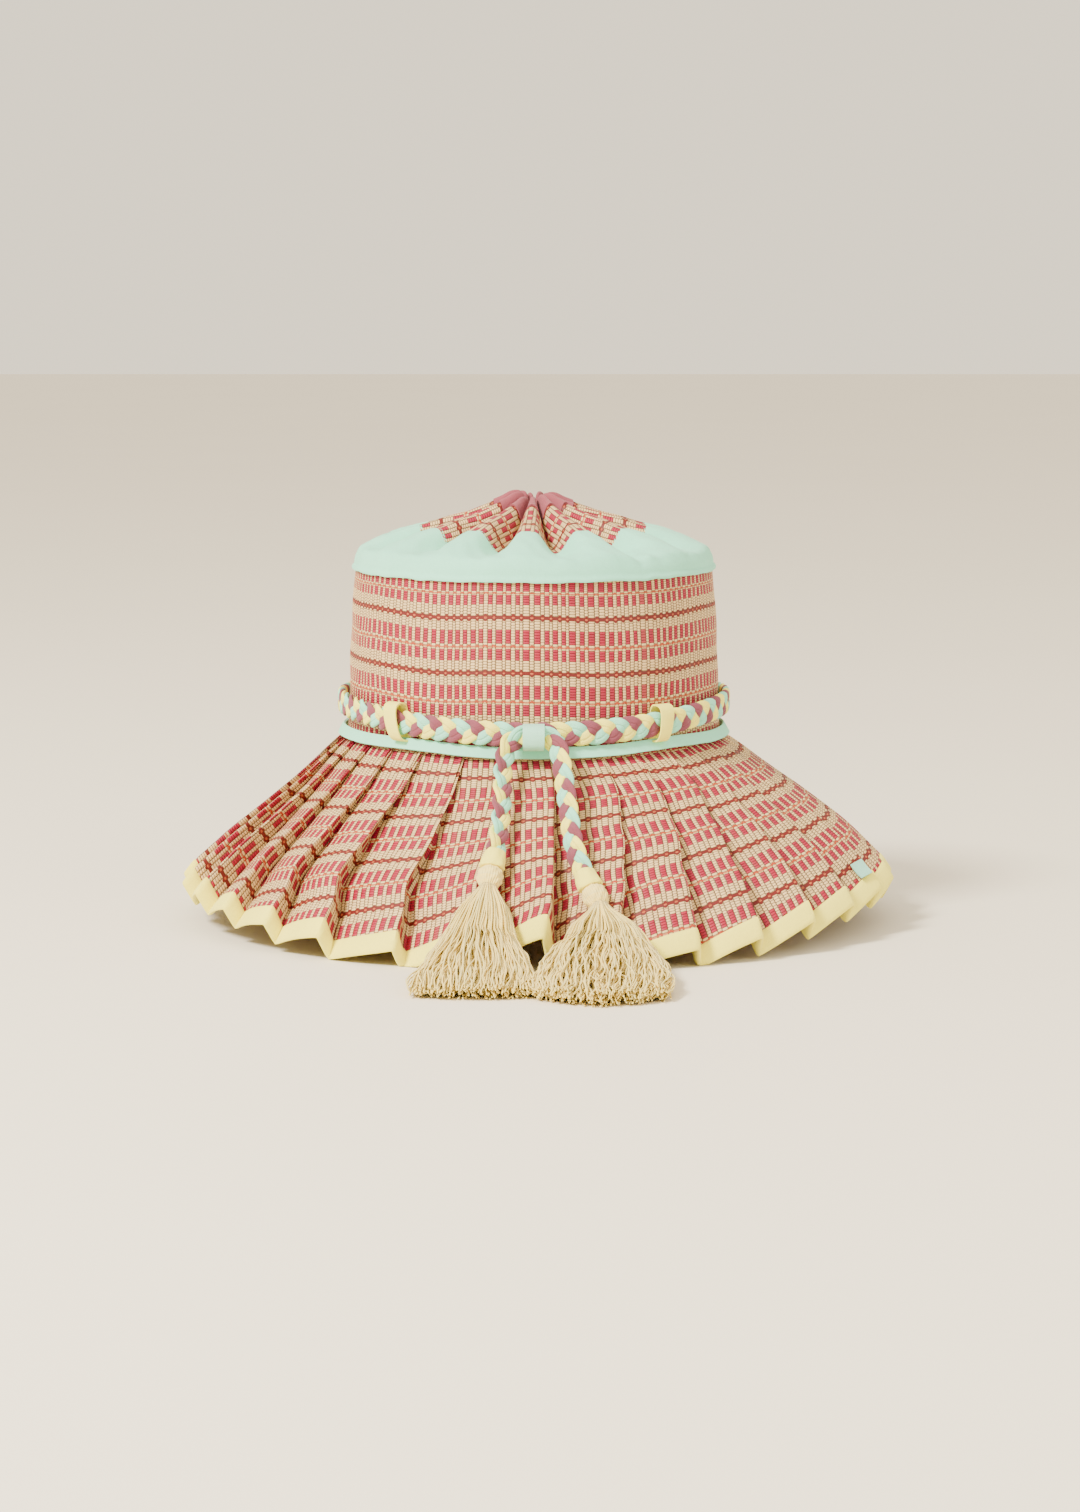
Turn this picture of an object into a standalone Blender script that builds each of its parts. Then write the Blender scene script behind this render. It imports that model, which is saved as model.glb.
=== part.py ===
"""Pleated woven sun hat: a soft crown, a knife-pleated brim, a braided belt with two tassels.

Metres, +Z up, -Y is the front. The origin is on the surface that the hat rests on, below
the middle of the crown. An azimuth is measured from the front towards +X.
"""

from math import atan2, cos, hypot, pi, radians, sin, sqrt

import bmesh
import bpy
import numpy as np
from mathutils import Matrix, Vector

# Clearance between neighbouring pieces
GAP = 0.0003

# Woven crown wall
CROWN_TOP_R = 0.0906
CROWN_TOP_Z = 0.1778
CROWN_BASE_R = 0.0957
CROWN_BASE_Z = 0.0905
STRAW_WALL = 0.0015
CROWN_STEPS = 60

# Crown top: cotton band, woven tip and bound centre
APEX_RISE = 0.0372
BAND_PROUD = 0.0008
BAND_WALL = 0.0015
TIP_R = 0.0555
CENTRE_R = 0.020
CREVICE_R = 0.0045
TIP_PLEATS = 13
TIP_FOLD = 0.015
TIP_PHASE = radians(-2.9)
CENTRE_WALL = 0.0030
FOLD_ROUNDNESS = 2.2
STEEP_WALL = 2.5

# Pleated brim: its root lies just outside the crown's foot and just below it
SEAM_STEP = 0.0005
SEAM_DROP = 0.0007
BRIM_ROOT_R = CROWN_BASE_R + SEAM_STEP
BRIM_ROOT_Z = CROWN_BASE_Z - SEAM_DROP
BRIM_EDGE_R = 0.174
BRIM_WALL = 0.0015
PLEATS = 32
PLEAT_DEPTH = 0.0085
PLEAT_PHASE = radians(1.6)
PLEAT_DRIFT = radians(2.3)
FOOT_SHARE = 0.06
SIDE_LIFT = 0.0125
SIDE_TILT = 0.0015
RIGHT_REACH = 0.0045
RIGHT_BULGE = 0.0035
RIGHT_START = 0.4
LIFT_START = radians(20)
LIFT_FULL = radians(72)
TIP_SINK = 0.0010

# Yellow binding along the brim's edge
BINDING_WIDTH = 0.0095
BINDING_WALL = 0.0022
BINDING_PROUD = 0.0004

# Mint tape over the seam
TAPE_RISE = 0.0070
TAPE_FLARE = 0.0050
TAPE_WALL = 0.0010
TAPE_TOP_Z = CROWN_BASE_Z + TAPE_RISE
TAPE_FOOT_Z = CROWN_BASE_Z + GAP
TAPE_FOOT_R = BRIM_ROOT_R + TAPE_FLARE

# Braided belt
BRAID_WIDTH = 0.0095
BRAID_THICKNESS = 0.0044
BRAID_Z = 0.1114
BRAID_DROOP = 0.0076
BRAID_STEPS = 64
LOOP_WALL = 0.0008
LOOP_WIDTH = 0.0080
LOOP_AZIMUTHS = (-44, 40, 135, -135)
LOOP_RISE = 0.0012
SLEEVE_SLACK = 0.0018

# Front slider round the belt and its two ends
SLIDER_WIDTH = 0.0108
SLIDER_HEIGHT = 0.0132
SLIDER_WALL = 0.0010
SLIDER_DROP = 0.0004

# Hanging ends of the belt: width, thickness, and their routes from the slider down the brim
END_WIDTH = 0.0085
END_THICKNESS = 0.0050
CURVE_STEPS = 12
END_LEFT_ROUTE = (
    (-0.0006, -0.1034, 0.1037),
    (-0.0060, -0.1035, 0.1035),
    (-0.0106, -0.1050, 0.1012),
    (-0.0136, -0.1090, 0.0960),
    (-0.0148, -0.1145, 0.0885),
    (-0.0150, -0.1215, 0.0800),
    (-0.0155, -0.1290, 0.0713),
    (-0.0162, -0.1365, 0.0625),
    (-0.0184, -0.1455, 0.0522),
)
END_RIGHT_ROUTE = (
    (0.0006, -0.1034, 0.1037),
    (0.0060, -0.1035, 0.1034),
    (0.0102, -0.1052, 0.1008),
    (0.0128, -0.1094, 0.0952),
    (0.0142, -0.1155, 0.0870),
    (0.0158, -0.1235, 0.0775),
    (0.0172, -0.1315, 0.0682),
    (0.0186, -0.1395, 0.0590),
    (0.0212, -0.1475, 0.0497),
    (0.0242, -0.1530, 0.0435),
)

# Tassels
CAP_LENGTH = 0.0085
CAP_R = 0.0060
CAP_FLATNESS = 0.8
CAP_SIDES = 12
HEAD_LENGTH = 0.0100
HEAD_WIDTH = 0.0124
HEAD_THICKNESS = 0.0100
LOCKS = 8
LOCK_SIDES = 3
LOCK_FURROW = 0.16
LOCK_ENDS = (0.0042, 0.0092, 0.0067, 0.0118, 0.0038)
UNDERSIDE = 0.7
SKIRT_THICKNESS = 0.016
SKIRT_WIDTH_LEFT = 0.058
SKIRT_WIDTH_RIGHT = 0.062
SPREAD_LEFT = -0.005
SPREAD_RIGHT = -0.006
BRIM_STOPS = (0.45, 0.85)
EDGE_CLEARANCE = 0.07
EDGE_DROP = 0.85
FLOOR_REACH_LEFT = 0.064
FLOOR_REACH_RIGHT = 0.082
FLOOR_SINK = 0.34
TASSEL_STEP = 0.012
BRIM_FACING = (0.0, -1.0, 1.0)

# Bare tag on the brim
TAG_SIDE = 0.0090
TAG_WALL = 0.0008
TAG_PLEAT = 6
TAG_ACROSS = 0.18
TAG_PROBE = 0.03

# Finishes: red, green, blue and roughness
STRAW = (0.76, 0.56, 0.42, 0.65)
MINT = (0.58, 0.78, 0.68, 0.85)
MAUVE = (0.30, 0.11, 0.15, 0.85)
YELLOW = (0.86, 0.79, 0.42, 0.85)
COTTON = (0.79, 0.66, 0.40, 0.90)

# The straight line from the brim's seam to its edge
BRIM_SLANT = hypot(BRIM_EDGE_R - BRIM_ROOT_R, BRIM_ROOT_Z)

# The crown wall's turned profile, as shares of its height and of its taper
CROWN_PROFILE = (
    # (height share, taper share)
    (1.00, 0.00),
    (0.80, 0.30),
    (0.50, 0.55),
    (0.18, 0.64),
    (0.08, 0.78),
    (0.00, 1.00),
)

# The crown top's sections, from its lower edge to the woven tip. Radius share is of the way
# from the tip's radius to the band's, and height share is of the rise to the apex.
BAND_SECTIONS = (
    # (radius share, height share, fold share, outward share of the wall)
    (1.00, 0.00, 0.00, 1.00),
    (0.99, 0.15, 0.00, 0.95),
    (0.90, 0.31, 0.03, 0.60),
    (0.60, 0.46, 0.22, 0.25),
    (0.28, 0.56, 0.52, 0.10),
    (0.00, 0.63, 0.74, 0.10),
)

# The woven tip's sections: radius share of the way from the bound centre to the tip's edge
TIP_SECTIONS = (
    # (radius share, height share, fold share, outward share of the wall)
    (1.00, 0.63, 0.74, 0.10),
    (0.70, 0.70, 0.88, 0.00),
    (0.40, 0.77, 0.97, 0.00),
    (0.00, 0.89, 1.00, 0.00),
)

# The points across one pleat of the crown top
FOLD_POINTS = (
    # (place, from -1 in one valley to 1 in the next, whether it is on a flank)
    (-1.00, False),
    (-0.66, True),
    (-0.25, False),
    (0.25, False),
    (0.66, True),
)

# The bound pleat ends: radius share of the way from the crevice to the centre's edge
CENTRE_SECTIONS = (
    # (radius share, height share, fold share)
    (1.00, 0.89, 1.00),
    (0.45, 1.00, 0.80),
    (0.12, 0.99, 0.45),
    (0.00, 0.80, 0.10),
)

# The brim's sections from the seam to its edge
BRIM_SECTIONS = (
    # (slant share, depth share, crest's share of the pleat)
    (0.00, 0.04, 0.95),
    (0.12, 0.30, 0.95),
    (0.36, 0.70, 0.93),
    (0.68, 1.00, 0.90),
    (1.00, 0.90, 0.82),
)

# A tassel's head and skirt
HEAD_SECTIONS = (
    # (length share, size share)
    (0.00, 0.94),
    (0.45, 1.02),
    (1.00, 0.90),
)
SKIRT_SECTIONS = (
    # (length share, width share, thickness share)
    (0.00, 0.00, 0.60),
    (0.15, 0.25, 0.75),
    (0.40, 0.62, 0.90),
    (0.70, 0.92, 1.00),
    (1.00, 1.00, 0.70),
)

# The skirt's middle line along the floor
FLOOR_SECTIONS = (
    # (reach share, share of the height at which it lies)
    (0.24, 1.25),
    (0.62, 1.00),
    (1.00, 0.70),
)

# A cloth sleeve round the belt, seen along it
SLEEVE_OUTLINE = (
    # (depth share, height share)
    (0.00, 0.16),
    (0.18, 0.03),
    (0.45, 0.00),
    (0.85, 0.06),
    (1.00, 0.22),
    (1.00, 0.78),
    (0.85, 0.95),
    (0.45, 1.00),
    (0.12, 0.98),
    (0.00, 0.89),
)


def clear_scene():
    for thing in list(bpy.data.objects):
        bpy.data.objects.remove(thing, do_unlink=True)


def collection(name):
    made = bpy.data.collections.new(name)
    bpy.context.scene.collection.children.link(made)
    return made


def finish(name, look):
    material = bpy.data.materials.new(name)
    material.use_nodes = True
    shader = material.node_tree.nodes["Principled BSDF"]
    shader.inputs["Base Color"].default_value = (*look[:3], 1.0)
    shader.inputs["Roughness"].default_value = look[3]
    shader.inputs["Metallic"].default_value = 0.0
    return material


def place(name, data, group, look):
    """The one object of a sub-part, with a material of its own."""
    thing = bpy.data.objects.new(name, data)
    thing.data.materials.append(finish(name, look))
    group.objects.link(thing)
    return thing


def at(radius, azimuth, height):
    return Vector((radius * sin(azimuth), -radius * cos(azimuth), height))


def loft(name, rings, closed):
    """A closed body through rings of points: the last joined to the first, or both filled."""
    shape = bmesh.new()
    rows = [[shape.verts.new(point) for point in ring] for ring in rings]
    count = len(rows[0])
    following = rows[1:] + rows[:1] if closed else rows[1:]
    for row, after in zip(rows, following):
        for i in range(count):
            j = (i + 1) % count
            shape.faces.new((row[i], row[j], after[j], after[i]))
    for row in () if closed else (rows[0], rows[-1]):
        pole = shape.verts.new(sum((vert.co for vert in row), Vector()) / count)
        for i in range(count):
            shape.faces.new((row[i], row[(i + 1) % count], pole))
    bmesh.ops.recalc_face_normals(shape, faces=shape.faces)
    if shape.calc_volume(signed=True) < 0:
        bmesh.ops.reverse_faces(shape, faces=shape.faces)
    mesh = bpy.data.meshes.new(name)
    shape.to_mesh(mesh)
    shape.free()
    return mesh


def turned_shell(name, profile, wall, steps, group, look):
    """An open profile at +X, top to bottom, turned round Z and given its wall inwards."""
    mesh = bpy.data.meshes.new(name)
    points = [(radius, 0.0, height) for radius, height in profile]
    mesh.from_pydata(points, [(i, i + 1) for i in range(len(points) - 1)], [])
    thing = place(name, mesh, group, look)
    turn = thing.modifiers.new("Turn", "SCREW")
    turn.steps = steps
    turn.render_steps = steps
    turn.use_merge_vertices = True
    turn.merge_threshold = 0.0001
    shell = thing.modifiers.new("Wall", "SOLIDIFY")
    shell.thickness = wall
    shell.offset = -1.0
    shell.use_even_offset = True


def crown_radius(height):
    """The crown wall's outer radius at a height."""
    share = (height - CROWN_BASE_Z) / (CROWN_TOP_Z - CROWN_BASE_Z)
    taper = np.interp(share, *zip(*reversed(CROWN_PROFILE)))
    return CROWN_TOP_R + (CROWN_BASE_R - CROWN_TOP_R) * float(taper)


def crown_side(group):
    profile = []
    for height_share, _ in CROWN_PROFILE:
        height = CROWN_BASE_Z + (CROWN_TOP_Z - CROWN_BASE_Z) * height_share
        profile.append((crown_radius(height), height))
    turned_shell("crown_side", profile, STRAW_WALL, CROWN_STEPS, group, STRAW)


def base_tape(group):
    top_r = crown_radius(TAPE_TOP_Z) + GAP + TAPE_WALL
    middle_z = (TAPE_TOP_Z + TAPE_FOOT_Z) / 2
    middle_r = max(top_r, crown_radius(middle_z) + GAP + TAPE_WALL) + TAPE_WALL
    profile = [(top_r, TAPE_TOP_Z), (middle_r, middle_z), (TAPE_FOOT_R, TAPE_FOOT_Z)]
    turned_shell("base_tape", profile, TAPE_WALL, CROWN_STEPS, group, MINT)


def fold_columns():
    """The crown top's columns: azimuth, drop from 0 on a crest to 1 in a valley, on a flank."""
    for pleat in range(TIP_PLEATS):
        for across, flank in FOLD_POINTS:
            azimuth = TIP_PHASE + 2 * pi * (pleat + across / 2) / TIP_PLEATS
            yield azimuth, 1 - sqrt(max(0.0, 1 - abs(across) ** FOLD_ROUNDNESS)), flank


def fold_ring(radius, height, drop, wall_out, wall):
    """A ring of the pleated crown top, moved in by the wall on its underside."""
    ring = []
    pitch = 2 * pi * radius / TIP_PLEATS
    for azimuth, fall, flank in fold_columns():
        slope = 2 * drop / pitch if flank else 0.0
        below = wall * min(STEEP_WALL, hypot(1.0, slope)) * (1 - wall_out)
        ring.append(at(radius - wall * wall_out, azimuth, height - drop * fall - below))
    return ring


def fold_shell(name, sections, inner_r, outer_r, wall, trim, group, look):
    """A pleated ring of the crown top. Trim pulls in its inner edge to clear the next ring."""
    top, under = [], []
    last = len(sections) - 1
    for number, (radius_share, height_share, fold_share, wall_out) in enumerate(sections):
        radius = inner_r + (outer_r - inner_r) * radius_share
        if number == last:
            radius += trim
        height = CROWN_TOP_Z + GAP + APEX_RISE * height_share
        drop = TIP_FOLD * fold_share
        top.append(fold_ring(radius, height, drop, 0.0, 0.0))
        under.append(fold_ring(radius, height, drop, wall_out, wall))
    place(name, loft(name, top + under[::-1], True), group, look)


def crown_top_band(group):
    outer = CROWN_TOP_R + BAND_PROUD
    fold_shell("crown_top_band", BAND_SECTIONS, TIP_R, outer, BAND_WALL, GAP, group, MINT)


def crown_tip(group):
    fold_shell("crown_tip", TIP_SECTIONS, CENTRE_R, TIP_R, STRAW_WALL, GAP, group, STRAW)


def crown_centre(group):
    """The bound pleat ends: packed cloth, pleated on top, with a deep crevice in the middle."""
    floor_z = CROWN_TOP_Z + APEX_RISE * CENTRE_SECTIONS[0][1] - TIP_FOLD - CENTRE_WALL
    rings = [fold_ring(CENTRE_R, floor_z, 0.0, 0.0, 0.0)]
    for radius_share, height_share, fold_share in CENTRE_SECTIONS:
        radius = CREVICE_R + (CENTRE_R - CREVICE_R) * radius_share
        height = CROWN_TOP_Z + GAP + APEX_RISE * height_share
        rings.append(fold_ring(radius, height, TIP_FOLD * fold_share, 0.0, 0.0))
    place("crown_centre", loft("crown_centre", rings, False), group, MAUVE)


def side_share(azimuth):
    """0 at the front and back of the brim and 1 at its sides, which stand clear of the floor."""
    turned = abs(atan2(sin(azimuth), cos(azimuth)))
    share = (min(turned, pi - turned) - LIFT_START) / (LIFT_FULL - LIFT_START)
    share = min(1.0, max(0.0, share))
    return share * share * (3 - 2 * share)


def right_share(azimuth):
    """1 over the brim's right half, which reaches further out, and 0 over its left half."""
    share = min(1.0, max(0.0, sin(azimuth) / RIGHT_START))
    return share * share * (3 - 2 * share)


def brim_line(azimuth):
    """How far the valley line runs out and drops at an azimuth, and its length."""
    edge_z = (SIDE_LIFT + SIDE_TILT * sin(azimuth)) * side_share(azimuth) - TIP_SINK
    run = BRIM_EDGE_R + RIGHT_REACH * right_share(azimuth) - BRIM_ROOT_R
    drop = BRIM_ROOT_Z - edge_z
    return run, drop, hypot(run, drop)


def on_brim(slant, azimuth, height):
    """A point at a share of the slant and a height above the valley lines."""
    run, drop, length = brim_line(azimuth)
    height += RIGHT_BULGE * right_share(azimuth) * 4 * slant * max(0.0, 1 - slant)
    radius = BRIM_ROOT_R + run * slant + height * drop / length
    return at(radius, azimuth, BRIM_ROOT_Z - drop * slant + height * run / length)


def valley(pleat):
    turn = 2 * pi * pleat / PLEATS
    return PLEAT_PHASE + turn + PLEAT_DRIFT * sin(turn)


def pleat_form(slant):
    """The pleats' depth, and the share of a pleat at which its crest lies."""
    shares, depths, crests = zip(*BRIM_SECTIONS)
    depth = PLEAT_DEPTH * float(np.interp(slant, shares, depths))
    return depth, float(np.interp(slant, shares, crests))


def pleat_ring(slant, offset):
    """One ring across the pleats, moved by an offset square to each face of the zigzag."""
    depth, crest = pleat_form(slant)
    radius = BRIM_ROOT_R + (BRIM_EDGE_R - BRIM_ROOT_R) * slant
    flat = []
    for pleat in range(PLEATS):
        start, end = valley(pleat), valley(pleat + 1)
        for share in (0.0, FOOT_SHARE, crest):
            azimuth = start + (end - start) * share
            flat.append((azimuth, azimuth * radius, depth * min(1.0, share / crest)))
    turn = 2 * pi * radius
    ring = []
    for i, (azimuth, along, height) in enumerate(flat):
        before = flat[i - 1]
        after = flat[(i + 1) % len(flat)]
        a = Vector((along - before[1] + (turn if i == 0 else 0), height - before[2]))
        b = Vector((after[1] - along + (turn if i == len(flat) - 1 else 0), after[2] - height))
        normal_a = Vector((-a.y, a.x)).normalized()
        normal_b = Vector((-b.y, b.x)).normalized()
        corner = (normal_a + normal_b).normalized()
        move = corner * (offset / corner.dot(normal_a))
        ring.append(on_brim(slant, azimuth + move.x / radius, height + move.y))
    return ring


def brim(group):
    slant_end = 1 - BINDING_WIDTH / BRIM_SLANT
    slants = [row[0] for row in BRIM_SECTIONS if row[0] < slant_end] + [slant_end]
    top = [pleat_ring(slant, 0.0) for slant in slants]
    under = [pleat_ring(slant, -BRIM_WALL) for slant in slants]
    place("brim", loft("brim", top + under[::-1], True), group, STRAW)
    return slant_end


def brim_binding(group, slant_end):
    """The binding, cut level along its lower edge so that its lowest tips stand flat."""
    start = slant_end + GAP / BRIM_SLANT
    inside = -(BINDING_WALL - BINDING_PROUD)
    top = pleat_ring(start, BINDING_PROUD)
    foot = pleat_ring(1.0, BINDING_PROUD)
    under_foot = pleat_ring(1.0, inside)
    under_top = pleat_ring(start, inside)
    for outer, inner in zip(foot, under_foot):
        outer.z = max(0.0, outer.z)
        lift = outer.z - inner.z
        radius = hypot(inner.x, inner.y)
        share = 1 - lift * (BRIM_EDGE_R - BRIM_ROOT_R) / BRIM_ROOT_Z / radius
        inner.x *= share
        inner.y *= share
        inner.z = outer.z
    mesh = loft("brim_binding", [top, foot, under_foot, under_top], True)
    place("brim_binding", mesh, group, YELLOW)


def braid_height(azimuth):
    """The belt hangs lower at the front."""
    return BRAID_Z - BRAID_DROOP * max(0.0, cos(azimuth)) ** 2


def braid_inner_r(azimuth):
    height = braid_height(azimuth)
    widest = max(crown_radius(height - BRAID_WIDTH / 2), crown_radius(height))
    return widest + 2 * GAP + max(LOOP_WALL, SLIDER_WALL)


def flat_cord(name, points, closed, width, thickness, group, look):
    """A flat cord on edge: a strip between two half rounds, with filled caps."""
    curve = bpy.data.curves.new(name, "CURVE")
    curve.dimensions = "3D"
    curve.extrude = (width - thickness) / 2
    curve.bevel_depth = thickness / 2
    curve.bevel_resolution = 1
    curve.use_fill_caps = True
    curve.twist_mode = "Z_UP" if closed else "MINIMUM"
    spline = curve.splines.new("POLY")
    spline.points.add(len(points) - 1)
    for spot, point in zip(spline.points, points):
        spot.co = (*point, 1.0)
    spline.use_cyclic_u = closed
    place(name, curve, group, look)


def braid_band(group):
    route = []
    for step in range(BRAID_STEPS):
        azimuth = 2 * pi * step / BRAID_STEPS
        radius = braid_inner_r(azimuth) + BRAID_THICKNESS / 2
        route.append(at(radius, azimuth, braid_height(azimuth)))
    flat_cord("braid_band", route, True, BRAID_WIDTH, BRAID_THICKNESS, group, MAUVE)


def sleeve(name, azimuth, depth, foot_z, top_z, width, wall, group, look):
    """A cloth sleeve round the belt at an azimuth, between the belt and the crown wall."""
    start_r = braid_inner_r(azimuth) - GAP - wall
    shape = bmesh.new()
    ends = []
    for along in (-width / 2, width / 2):
        ring = []
        for depth_share, height_share in SLEEVE_OUTLINE:
            radius = start_r + depth * depth_share
            height = foot_z + (top_z - foot_z) * height_share
            ring.append(shape.verts.new((along, -radius, height)))
        ends.append(ring)
    count = len(SLEEVE_OUTLINE)
    for i in range(count):
        j = (i + 1) % count
        shape.faces.new((ends[0][i], ends[0][j], ends[1][j], ends[1][i]))
    bmesh.ops.recalc_face_normals(shape, faces=shape.faces)
    mesh = bpy.data.meshes.new(name)
    shape.to_mesh(mesh)
    shape.free()
    middle = Vector((0.0, -start_r - depth / 2, (foot_z + top_z) / 2))
    face = mesh.polygons[0]
    if face.normal.dot(face.center - middle) < 0:
        mesh.flip_normals()
    mesh.transform(Matrix.Rotation(azimuth, 4, "Z"))
    thing = place(name, mesh, group, look)
    shell = thing.modifiers.new("Wall", "SOLIDIFY")
    shell.thickness = wall
    shell.offset = -1.0
    shell.use_even_offset = True


def belt_loops(group):
    for number, degrees in enumerate(LOOP_AZIMUTHS, 1):
        azimuth = radians(degrees)
        depth = 2 * LOOP_WALL + BRAID_THICKNESS + SLEEVE_SLACK
        foot_z = TAPE_TOP_Z + GAP
        top_z = braid_height(azimuth) + BRAID_WIDTH / 2 + LOOP_WALL + LOOP_RISE
        sleeve(
            f"belt_loop_{number}", azimuth, depth, foot_z, top_z, LOOP_WIDTH, LOOP_WALL, group, YELLOW
        )


def front_slider(group):
    depth = 2 * SLIDER_WALL + BRAID_THICKNESS + END_THICKNESS + SLEEVE_SLACK
    middle = braid_height(0.0) - SLIDER_DROP
    foot_z = middle - SLIDER_HEIGHT / 2
    top_z = middle + SLIDER_HEIGHT / 2
    sleeve("front_slider", 0.0, depth, foot_z, top_z, SLIDER_WIDTH, SLIDER_WALL, group, MINT)


def smooth_route(points, spacing):
    """Points at an even spacing along the smooth curve through a route's own points."""
    spots = [Vector(point) for point in points]
    spots = [2 * spots[0] - spots[1], *spots, 2 * spots[-1] - spots[-2]]
    fine = []
    for a, b, c, d in zip(spots, spots[1:], spots[2:], spots[3:]):
        for step in range(CURVE_STEPS):
            t = step / CURVE_STEPS
            fine.append(
                0.5 * (2 * b + (c - a) * t + (2 * a - 5 * b + 4 * c - d) * t * t)
                + 0.5 * (3 * b - a - 3 * c + d) * t**3
            )
    fine.append(spots[-2])
    reached = np.concatenate([[0.0], np.cumsum([(q - p).length for p, q in zip(fine, fine[1:])])])
    count = max(2, round(reached[-1] / spacing))
    marks = np.linspace(0.0, reached[-1], count + 1)
    axes = [np.interp(marks, reached, [point[k] for point in fine]) for k in range(3)]
    return [Vector(point) for point in zip(*axes)]


def cord_frame(route):
    """A frame at a route's far end: X across, Y away from the brim, Z along the cord."""
    end = Vector(route[-1])
    along = (end - Vector(route[-2])).normalized()
    facing = Vector(BRIM_FACING)
    out = (facing - along * along.dot(facing)).normalized()
    across = out.cross(along)
    return Matrix((across, out, along)).transposed(), end, along


def tassel_cap(name, route, group):
    turn, end, along = cord_frame(route)
    shape = bmesh.new()
    bmesh.ops.create_cone(
        shape,
        cap_ends=True,
        segments=CAP_SIDES,
        radius1=END_WIDTH / 2,
        radius2=CAP_R,
        depth=CAP_LENGTH,
    )
    bmesh.ops.scale(shape, verts=shape.verts, vec=(1.0, CAP_FLATNESS, 1.0))
    mesh = bpy.data.meshes.new(name)
    shape.to_mesh(mesh)
    shape.free()
    middle = end + along * (GAP + CAP_LENGTH / 2)
    mesh.transform(Matrix.Translation(middle) @ turn.to_4x4())
    place(name, mesh, group, YELLOW)


def tassel_line(start, spread, reach):
    """The skirt's middle line: down the brim, over its edge and out along the floor."""
    azimuth = atan2(start.x, -start.y)
    slant = (hypot(start.x, start.y) - BRIM_ROOT_R) / (BRIM_EDGE_R - BRIM_ROOT_R)
    above = PLEAT_DEPTH + BINDING_PROUD + GAP + SKIRT_THICKNESS / 2
    points = [start]
    for share in BRIM_STOPS:
        points.append(on_brim(slant + (1.0 - slant) * share, azimuth, above))
    edge = on_brim(1.0 + EDGE_CLEARANCE, azimuth, above)
    points.append(Vector((edge.x, edge.y, edge.z * EDGE_DROP)))
    for reach_share, height_share in FLOOR_SECTIONS:
        height = SKIRT_THICKNESS * FLOOR_SINK * height_share
        points.append(Vector((edge.x, edge.y - reach * reach_share, height)))
    for i, point in enumerate(points):
        point.x += spread * i / (len(points) - 1)
    return points


def lock_section(middle, along, width, thickness, furrow, ragged):
    """A ring across the tassel: a flattened round with a furrow between each two locks.

    On a ragged ring each lock ends at a length of its own.
    """
    across = along.cross(Vector((0.0, 0.0, 1.0))).normalized()
    out = across.cross(along).normalized()
    ring = []
    for step in range(LOCKS * LOCK_SIDES):
        turn = 2 * pi * step / (LOCKS * LOCK_SIDES)
        in_furrow = step % LOCK_SIDES == 0
        size = 1.0 - furrow if in_furrow else 1.0
        half = thickness / 2 if sin(turn) > 0 else thickness / 2 * UNDERSIDE
        point = middle + across * (cos(turn) * width / 2 * size) + out * (sin(turn) * half * size)
        if ragged and not in_furrow:
            point += along * LOCK_ENDS[step // LOCK_SIDES % len(LOCK_ENDS)]
        point.z = max(0.0, point.z)
        ring.append(point)
    return ring


def skirt_form(share):
    """The skirt's share of its full width and of its thickness, part of the way along it."""
    shares, widths, thicks = zip(*SKIRT_SECTIONS)
    return float(np.interp(share, shares, widths)), float(np.interp(share, shares, thicks))


def tassel(name, route, spread, reach, skirt_width, group):
    """Locks of thread fused to a wound head, lying over the brim's edge and on the floor."""
    _, end, along = cord_frame(route)
    top = end + along * (2 * GAP + CAP_LENGTH)
    rings = []
    for down, size in HEAD_SECTIONS:
        middle = top + along * HEAD_LENGTH * down
        ring = lock_section(middle, along, HEAD_WIDTH * size, HEAD_THICKNESS * size, 0.0, False)
        rings.append(ring)
    skirt = smooth_route(tassel_line(top + along * HEAD_LENGTH, spread, reach), TASSEL_STEP)
    last = len(skirt) - 1
    for i in range(1, len(skirt)):
        share = i / last
        wide, thick = skirt_form(share)
        way = (skirt[min(i + 1, last)] - skirt[i - 1]).normalized()
        width = HEAD_WIDTH + (skirt_width - HEAD_WIDTH) * wide
        furrow = LOCK_FURROW * min(1.0, 2 * share)
        thickness = SKIRT_THICKNESS * thick
        rings.append(lock_section(skirt[i], way, width, thickness, furrow, i == last))
    place(name, loft(name, rings, False), group, COTTON)


def brim_tag(group, slant_end):
    """A thin plate that lies on a pleat's wide face, above the binding."""
    start, end = valley(TAG_PLEAT), valley(TAG_PLEAT + 1)
    slant = slant_end - TAG_SIDE / 2 / brim_line(start)[2]
    depth, crest = pleat_form(slant)

    def on_face(down, across):
        share = TAG_ACROSS + across
        azimuth = start + (end - start) * share
        return on_brim(slant + down, azimuth, depth * share / crest)

    middle = on_face(0.0, 0.0)
    down_way = (on_face(TAG_PROBE, 0.0) - middle).normalized()
    face_way = (on_face(0.0, TAG_PROBE) - middle).normalized()
    out = down_way.cross(face_way)
    if out.z < 0:
        out.negate()
    across_way = out.cross(down_way)
    shape = bmesh.new()
    bmesh.ops.create_cube(shape, size=1.0)
    bmesh.ops.scale(shape, verts=shape.verts, vec=(TAG_SIDE, TAG_SIDE, TAG_WALL))
    mesh = bpy.data.meshes.new("brim_tag")
    shape.to_mesh(mesh)
    shape.free()
    turn = Matrix((across_way, down_way, out)).transposed()
    if turn.determinant() < 0:
        turn = Matrix((-across_way, down_way, out)).transposed()
    lifted = middle + out * (TAG_WALL / 2 + 2 * GAP)
    mesh.transform(Matrix.Translation(lifted) @ turn.to_4x4())
    place("brim_tag", mesh, group, MINT)


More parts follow.
